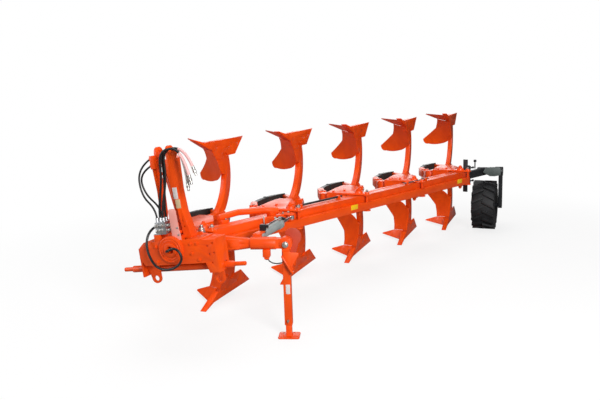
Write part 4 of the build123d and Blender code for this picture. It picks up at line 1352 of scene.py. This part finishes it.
@dataclass
class FrontArm(Assembly):
    """Forked arm with the small valve and its pipe below."""

    # behind, under and out from the stand's pivot
    valve_place: tuple[float, float, float] = (0.165, 0.080, 0.020)
    loop_reach: float = 0.075
    loop_drop: float = 0.045

    def build(self) -> None:
        """Builds the arm's finish and trim."""
        self.work("front_arm", RED_PAINT, 0.003)
        back, down, out = self.valve_place
        middle = STAND_PIVOT - ARM_WAY * back - UP * down + ARM_OUT * out
        housing = [
            block(middle, (0.062, 0.060, 0.066), ARM_WAY, UP, 0.005),
            block(middle - UP * 0.040, (0.040, 0.044, 0.026), ARM_WAY, UP, 0.004),
        ]
        self.put(housing, "arm_valve_housing", "front_frame", RED_PAINT, "red_paint")
        hoop = [
            middle + ARM_WAY * (0.010 + self.loop_reach * (1 - math.cos(turn)))
            - UP * (0.050 + self.loop_drop * math.sin(turn))
            for turn in (0.0, 0.5, 1.05, 1.57, 2.1, 2.6)
        ]
        pipe = bent_rod(hoop, 0.005)
        pipe.append(rod(middle - UP * 0.040, middle - UP * 0.060, 0.013, 18, 0.002))
        self.put(pipe, "arm_pipe", "front_frame", HOSE_RUBBER, "hose_rubber")


@dataclass
class WidthCylinder(Assembly):
    """Cylinder that sets the furrow width, with its ports and pipes."""

    barrel_r: float = 0.040
    rise: float = 0.045
    # place along the barrel and turn round it, in radians, of each port
    ports: tuple[tuple[float, float], ...] = ((0.085, 0.3), (0.395, 0.3), (0.410, -0.5))
    pipe_r: float = 0.007
    pipe_over: float = 0.030
    gland_from: float = 0.436

    def build(self) -> None:
        """Builds the cylinder's finish and trim."""
        self.work("width_barrel", GREY_ENAMEL, 0.002)
        dress("width_rod", self.finishes.of(CHROME))
        start = Vector((HEEL.x + 0.760, HEEL.y - 1.240, AXIS_Z + self.rise))
        way = (beam_point(1.097, -0.135, self.rise) - start).normalized()
        side = way.cross(UP)
        ways = [UP * math.cos(turn) + side * math.sin(turn) for _, turn in self.ports]
        fittings = []
        for (along, _), out in zip(self.ports, ways):
            foot = start + way * along + out * (self.barrel_r - 0.002)
            fittings += turned(foot, out, ((0.024, 0.016, 24, 0.002), (0.016, 0.012, 6, 0.002)))
        self.put(fittings, "cylinder_ports", "width_barrel", ZINC, "bright_steel")
        level = start + ways[0] * (self.barrel_r + self.pipe_over)
        bends = [level + way * along for along in (0.085, 0.120, 0.360, 0.395)]
        self.put(bent_rod(bends, self.pipe_r), "cylinder_pipe", "width_barrel", CHROME, "bright_steel")
        cap = turned(start + way * self.gland_from, way, ((0.016, 0.034, 32, 0.003),))
        for along, tall in ((0.030, 0.052), (0.452, 0.030)):
            foot = start + way * along + UP * (self.barrel_r * 0.4)
            cap.append(block(foot + UP * tall / 2, (0.044, 0.050, tall + 0.030), way, UP, 0.006))
            cap.append(rod(foot + UP * tall, foot + UP * tall + side * 0.050, 0.013, 20, 0.002))
        self.put(cap, "cylinder_gland", "width_barrel", BLACK_PAINT, "black_paint")


@dataclass
class ParkingStand(Assembly):
    """Stand with its foot, guard, gusset, lock pin and handle."""

    cheek_out: float = 0.051
    guard_middle: tuple[float, float] = (0.050, 0.038)
    guard_r: float = 0.076
    handle_r: float = 0.010
    handle_out: float = 0.070
    pin_height: float = 0.155
    label_height: float = 0.432

    def build(self) -> None:
        """Builds the stand's finish and trim."""
        self.work("stand_leg", RED_PAINT, 0.004)
        self.work("stand_foot", RED_PAINT, 0.004)
        self.guard()
        self.handle()
        self.pin_and_nut()
        self.label()

    def guard(self) -> None:
        """Adds the rounded guard plate behind the pivot."""
        arc = [math.radians(turn) for turn in range(-50, 141, 10)]
        x, y = self.guard_middle
        outline = [(x + self.guard_r * math.cos(turn), y + self.guard_r * math.sin(turn)) for turn in arc]
        outline += [(-0.025, -0.060), (0.030, -0.150), (0.062, -0.150)]
        origin = STAND_PIVOT - ARM_OUT * (self.cheek_out + 0.011)
        guard = plate(outline, origin, ARM_WAY, UP, 0.010, 0.002)
        # the guard's darker red is painted shade, not a different paint
        self.put([guard], "stand_guard", "front_frame", SHADE_DARKENED_RED, "red_paint")

    def handle(self) -> None:
        """Adds the slanted handle and the gusset before the leg."""
        root = STAND_PIVOT + ARM_OUT * self.handle_out
        points = [root - ARM_WAY * 0.028 - UP * 0.105, root + ARM_WAY * 0.052 - UP * 0.245]
        made = bent_rod(points, self.handle_r)
        made += [rod(end, end - ARM_OUT * 0.035, self.handle_r, 16, 0.002) for end in points[::-1]]
        outline = [
            (-0.022, -0.060), (0.033, -0.060), (0.045, -0.080), (0.036, -0.185), (0.028, -0.200),
            (-0.022, -0.100),
        ]
        made.append(plate(outline, STAND_PIVOT + ARM_OUT * 0.060, ARM_WAY, UP, 0.008, 0.002))
        self.put(made, "stand_handle", "stand", RED_PAINT, "red_paint")

    def pin_and_nut(self) -> None:
        """Adds the plated lock pin with its ring, and the nut of the pivot."""
        low = STAND_PIVOT.copy()
        low.z = self.pin_height
        pin = rod(low - ARM_OUT * 0.046, low + ARM_OUT * 0.052, 0.009, 16, 0.002)
        grip = ring(low + ARM_OUT * 0.058, ARM_WAY, 0.016, 0.0026, 24)
        self.put([pin, grip], "stand_lock_pin", "stand", ZINC, "bright_steel")
        bolt = FastenerSet("stand_nut")
        bolt.add(Fastener.STUD, 0.021, STAND_PIVOT + ARM_OUT * 0.065, ARM_OUT)
        bolt.build("stand", self.finishes.of(ZINC))

    def label(self) -> None:
        """Sticks the blank label on the leg's face."""
        middle = STAND_PIVOT + ARM_WAY * 0.006 + ARM_OUT * 0.0335
        middle.z = self.label_height
        label = block(middle, (0.036, 0.001, 0.084), ARM_WAY, UP, 0.0004)
        self.put([label], "stand_label", "stand", WHITE_FILM, "red_paint")


@dataclass
class DepthWheel(Assembly):
    """Rear wheel with its arm, bracket, casting and spindles."""

    hub_face: float = 0.100
    nut_count: int = 6
    nut_circle: float = 0.090
    casting_ahead: float = 0.2
    spindle_from: float = 4.560
    spindle_rise: float = 0.090

    def build(self) -> None:
        """Builds the wheel's finish and trim."""
        for node, edge in (("wheel_bracket", 0.003), ("wheel_arm", 0.003), ("wheel_rim", 0.002)):
            self.work(node, BLACK_PAINT, edge)
        self.work("tyre", TYRE_RUBBER, 0.003)
        self.hub()
        self.spindles()
        self.casting()

    def casting(self) -> None:
        """Adds the grey casting that holds the arm's pivot, the threaded rod before it and its knob."""
        outline = [
            (-0.010, 0.012), (0.020, 0.060), (0.082, 0.083), (0.215, 0.085), (0.231, 0.040),
            (0.228, -0.025), (0.150, -0.042), (0.085, -0.042),
        ]
        origin = Vector((WHEEL_MIDDLE.x, WHEEL_MIDDLE.y - self.casting_ahead, AXIS_Z))
        right = LAND_SIDE
        made = plate(outline, origin, right, UP, 0.030, 0.008)
        self.put([made], "wheel_casting", NODE_BODY["wheel_arm"], CAST_GREY, "grey_paint")
        screw = [
            rod(origin + right * first + UP * 0.082, origin + right * last + UP * 0.081, radius, 18, 0.002)
            for first, last, radius in ((-0.262, -0.174, 0.012), (-0.215, -0.190, 0.020))
        ]
        stem = origin - right * 0.120
        screw.append(rod(stem + UP * 0.060, stem + UP * 0.170, 0.008, 16, 0.001))
        screw.append(rod(stem + UP * 0.150, stem + UP * 0.182, 0.020, 20, 0.005))
        self.put(screw, "wheel_screw", "beam", BLACK_PAINT, "black_paint")

    def hub(self) -> None:
        """Adds the hub cover and the wheel nuts."""
        face = WHEEL_MIDDLE + LAND_SIDE * self.hub_face
        cap = [
            rod(face, face + LAND_SIDE * length, radius, 32, edge)
            for length, radius, edge in ((0.032, 0.046, 0.008), (0.006, 0.058, 0.002))
        ]
        self.put(cap, "hub_cap", "wheel", CAST_GREY, "black_paint")
        nuts = FastenerSet("wheel_nuts")
        for k in range(self.nut_count):
            angle = 2 * math.pi * k / self.nut_count
            y, z = self.nut_circle * math.cos(angle), self.nut_circle * math.sin(angle)
            nuts.add(Fastener.STUD, 0.012, WHEEL_MIDDLE + Vector((0.044, y, z)), LAND_SIDE)
        nuts.build("wheel", self.finishes.of(ZINC))

    def spindles(self) -> None:
        """Adds the threaded spindles that set the wheel's depth, over and under the beam."""
        made = []
        for up in (-self.spindle_rise, self.spindle_rise):
            start = beam_point(self.spindle_from, 0.0, up)
            made.append(rod(start, start + BEAM_WAY * 0.260, 0.009, 16, 0.002))
            for along in (0.0, 0.235):
                place = start + BEAM_WAY * along
                made.append(rod(place, place + BEAM_WAY * 0.016, 0.016, 6, 0.002))
        self.put(made, "wheel_spindles", "beam", BLACK_PAINT, "black_paint")


@dataclass
class Studio:
    """Pale floor, soft lights and the camera at the photograph's angle."""

    focal_px: float = 659.63
    frame_px: float = 600.0
    camera_from_heel: tuple[float, float, float] = (3.1430, -6.2610, 2.122)
    yaw: float = 21.894
    pitch: float = 10.216
    roll: float = -1.8747
    near_white: float = 0.80
    air_strength: float = 0.12
    aim_height: float = 0.8
    fade_from: float = 2.6
    fade_to: float = 6.0

    def build(self) -> None:
        """Sets up the studio."""
        self.floor()
        self.world()
        for name, place, size, power in (
            ("key", (5.5, -7.5, 4.2), 3.0, 760), ("fill", (-6.5, -6.0, 3.5), 5.0, 240),
            ("top", (-1.0, 0.5, 7.5), 6.5, 350), ("back", (-3.5, 9.5, 2.2), 7.0, 330),
        ):
            self.lamp(name, Vector(place), size, power)
        self.camera()

    def floor(self) -> None:
        """Adds the pale floor, which turns to plain white away from the plough."""
        deselect_all()
        bpy.ops.mesh.primitive_plane_add(size=200, location=(0, 0, -0.0008))
        floor = settle(bpy.context.object, "studio_floor")
        material, shader, place = bare_material("studio_paper")
        tree = material.node_tree
        shader.inputs["Roughness"].default_value = 0.9
        path = add_node(material, "ShaderNodeLightPath")
        # the plough stands on grey ground, so less light comes back from below than the camera sees
        ground = add_node(
            material, "ShaderNodeMix", {"data_type": "RGBA"}, {6: linear("#8c8a88"), 7: linear("#f6f6f6")},
            [(path.outputs["Is Camera Ray"], 0)],
        )
        tree.links.new(ground.outputs[2], shader.inputs["Base Color"])
        glow = add_node(material, "ShaderNodeEmission", inputs={"Color": linear("#ffffff"), "Strength": 1.0})
        far = add_node(material, "ShaderNodeVectorMath", {"operation": "LENGTH"}, links=[(place, 0)])
        white = add_node(
            material, "ShaderNodeMapRange", {"interpolation_type": "SMOOTHSTEP"},
            {"From Min": self.fade_from, "From Max": self.fade_to, "To Min": self.near_white, "To Max": 1.0},
            [(far.outputs["Value"], "Value")],
        )
        seen = add_node(
            material, "ShaderNodeMath", {"operation": "MULTIPLY"},
            links=[(path.outputs["Is Camera Ray"], 0), (white.outputs["Result"], 1)],
        )
        mix = add_node(
            material, "ShaderNodeMixShader",
            links=[(seen.outputs[0], 0), (shader.outputs["BSDF"], 1), (glow.outputs["Emission"], 2)],
        )
        tree.links.new(mix.outputs["Shader"], tree.nodes["Material Output"].inputs["Surface"])
        floor.data.materials.append(material)

    def world(self) -> None:
        """Adds even light from all round, white to the camera."""
        world = bpy.data.worlds.new("studio_air")
        bpy.context.scene.world = world
        world.use_nodes = True
        world.node_tree.nodes.clear()
        path = add_node(world, "ShaderNodeLightPath")
        air, white = (
            add_node(world, "ShaderNodeBackground", inputs={"Color": linear("#ffffff"), "Strength": strength})
            for strength in (self.air_strength, 1.0)
        )
        mix = add_node(
            world, "ShaderNodeMixShader",
            links=[(path.outputs["Is Camera Ray"], 0), (air.outputs[0], 1), (white.outputs[0], 2)],
        )
        add_node(world, "ShaderNodeOutputWorld", links=[(mix.outputs[0], "Surface")])

    def lamp(self, name: str, place: Vector, size: float, power: float) -> None:
        """Adds a soft square lamp that looks at the plough's middle.

        Args:
            name: its name.
            place: where it stands.
            size: its side.
            power: its power in watts.
        """
        light = bpy.data.lights.new(name, "AREA")
        light.shape = "SQUARE"
        light.size = size
        light.energy = power
        lamp = bpy.data.objects.new(name, light)
        bpy.context.scene.collection.objects.link(lamp)
        lamp.location = place
        ray = Vector((0.0, 0.0, self.aim_height)) - place
        lamp.rotation_euler = ray.to_track_quat("-Z", "Y").to_euler()

    def camera(self) -> None:
        """Adds the camera where the photograph was taken."""
        yaw, pitch, roll = (math.radians(a) for a in (self.yaw, self.pitch, self.roll))
        ahead = Vector((-math.sin(yaw) * math.cos(pitch), math.cos(yaw) * math.cos(pitch), -math.sin(pitch)))
        right = Vector((math.cos(yaw), math.sin(yaw), 0))
        up = right.cross(ahead)
        x_axis = right * math.cos(roll) + up * math.sin(roll)
        y_axis = up * math.cos(roll) - right * math.sin(roll)
        lens = bpy.data.cameras.new("photo_camera")
        lens.sensor_width = 36.0
        lens.lens = self.focal_px / self.frame_px * 36.0
        lens.clip_end = 200
        camera = bpy.data.objects.new("photo_camera", lens)
        bpy.context.scene.collection.objects.link(camera)
        turn = Matrix((x_axis, y_axis, -ahead)).transposed().to_4x4()
        camera.matrix_world = Matrix.Translation(HEEL + Vector(self.camera_from_heel)) @ turn
        bpy.context.scene.camera = camera


def main() -> None:
    """Builds every sub-assembly in order and sets up the studio."""
    logging.basicConfig(level=logging.INFO, format="%(name)s: %(message)s")
    finishes = Finishes()
    for number in range(1, BODY_COUNT + 1):
        PloughBody(finishes, number).build()
    Beam(finishes).build()
    Headstock(finishes).build()
    Hydraulics(finishes).build()
    FrontArm(finishes).build()
    WidthCylinder(finishes).build()
    ParkingStand(finishes).build()
    DepthWheel(finishes).build()
    Studio().build()
    bpy.context.scene.view_settings.view_transform = "Standard"


if __name__ == "__main__":
    main()
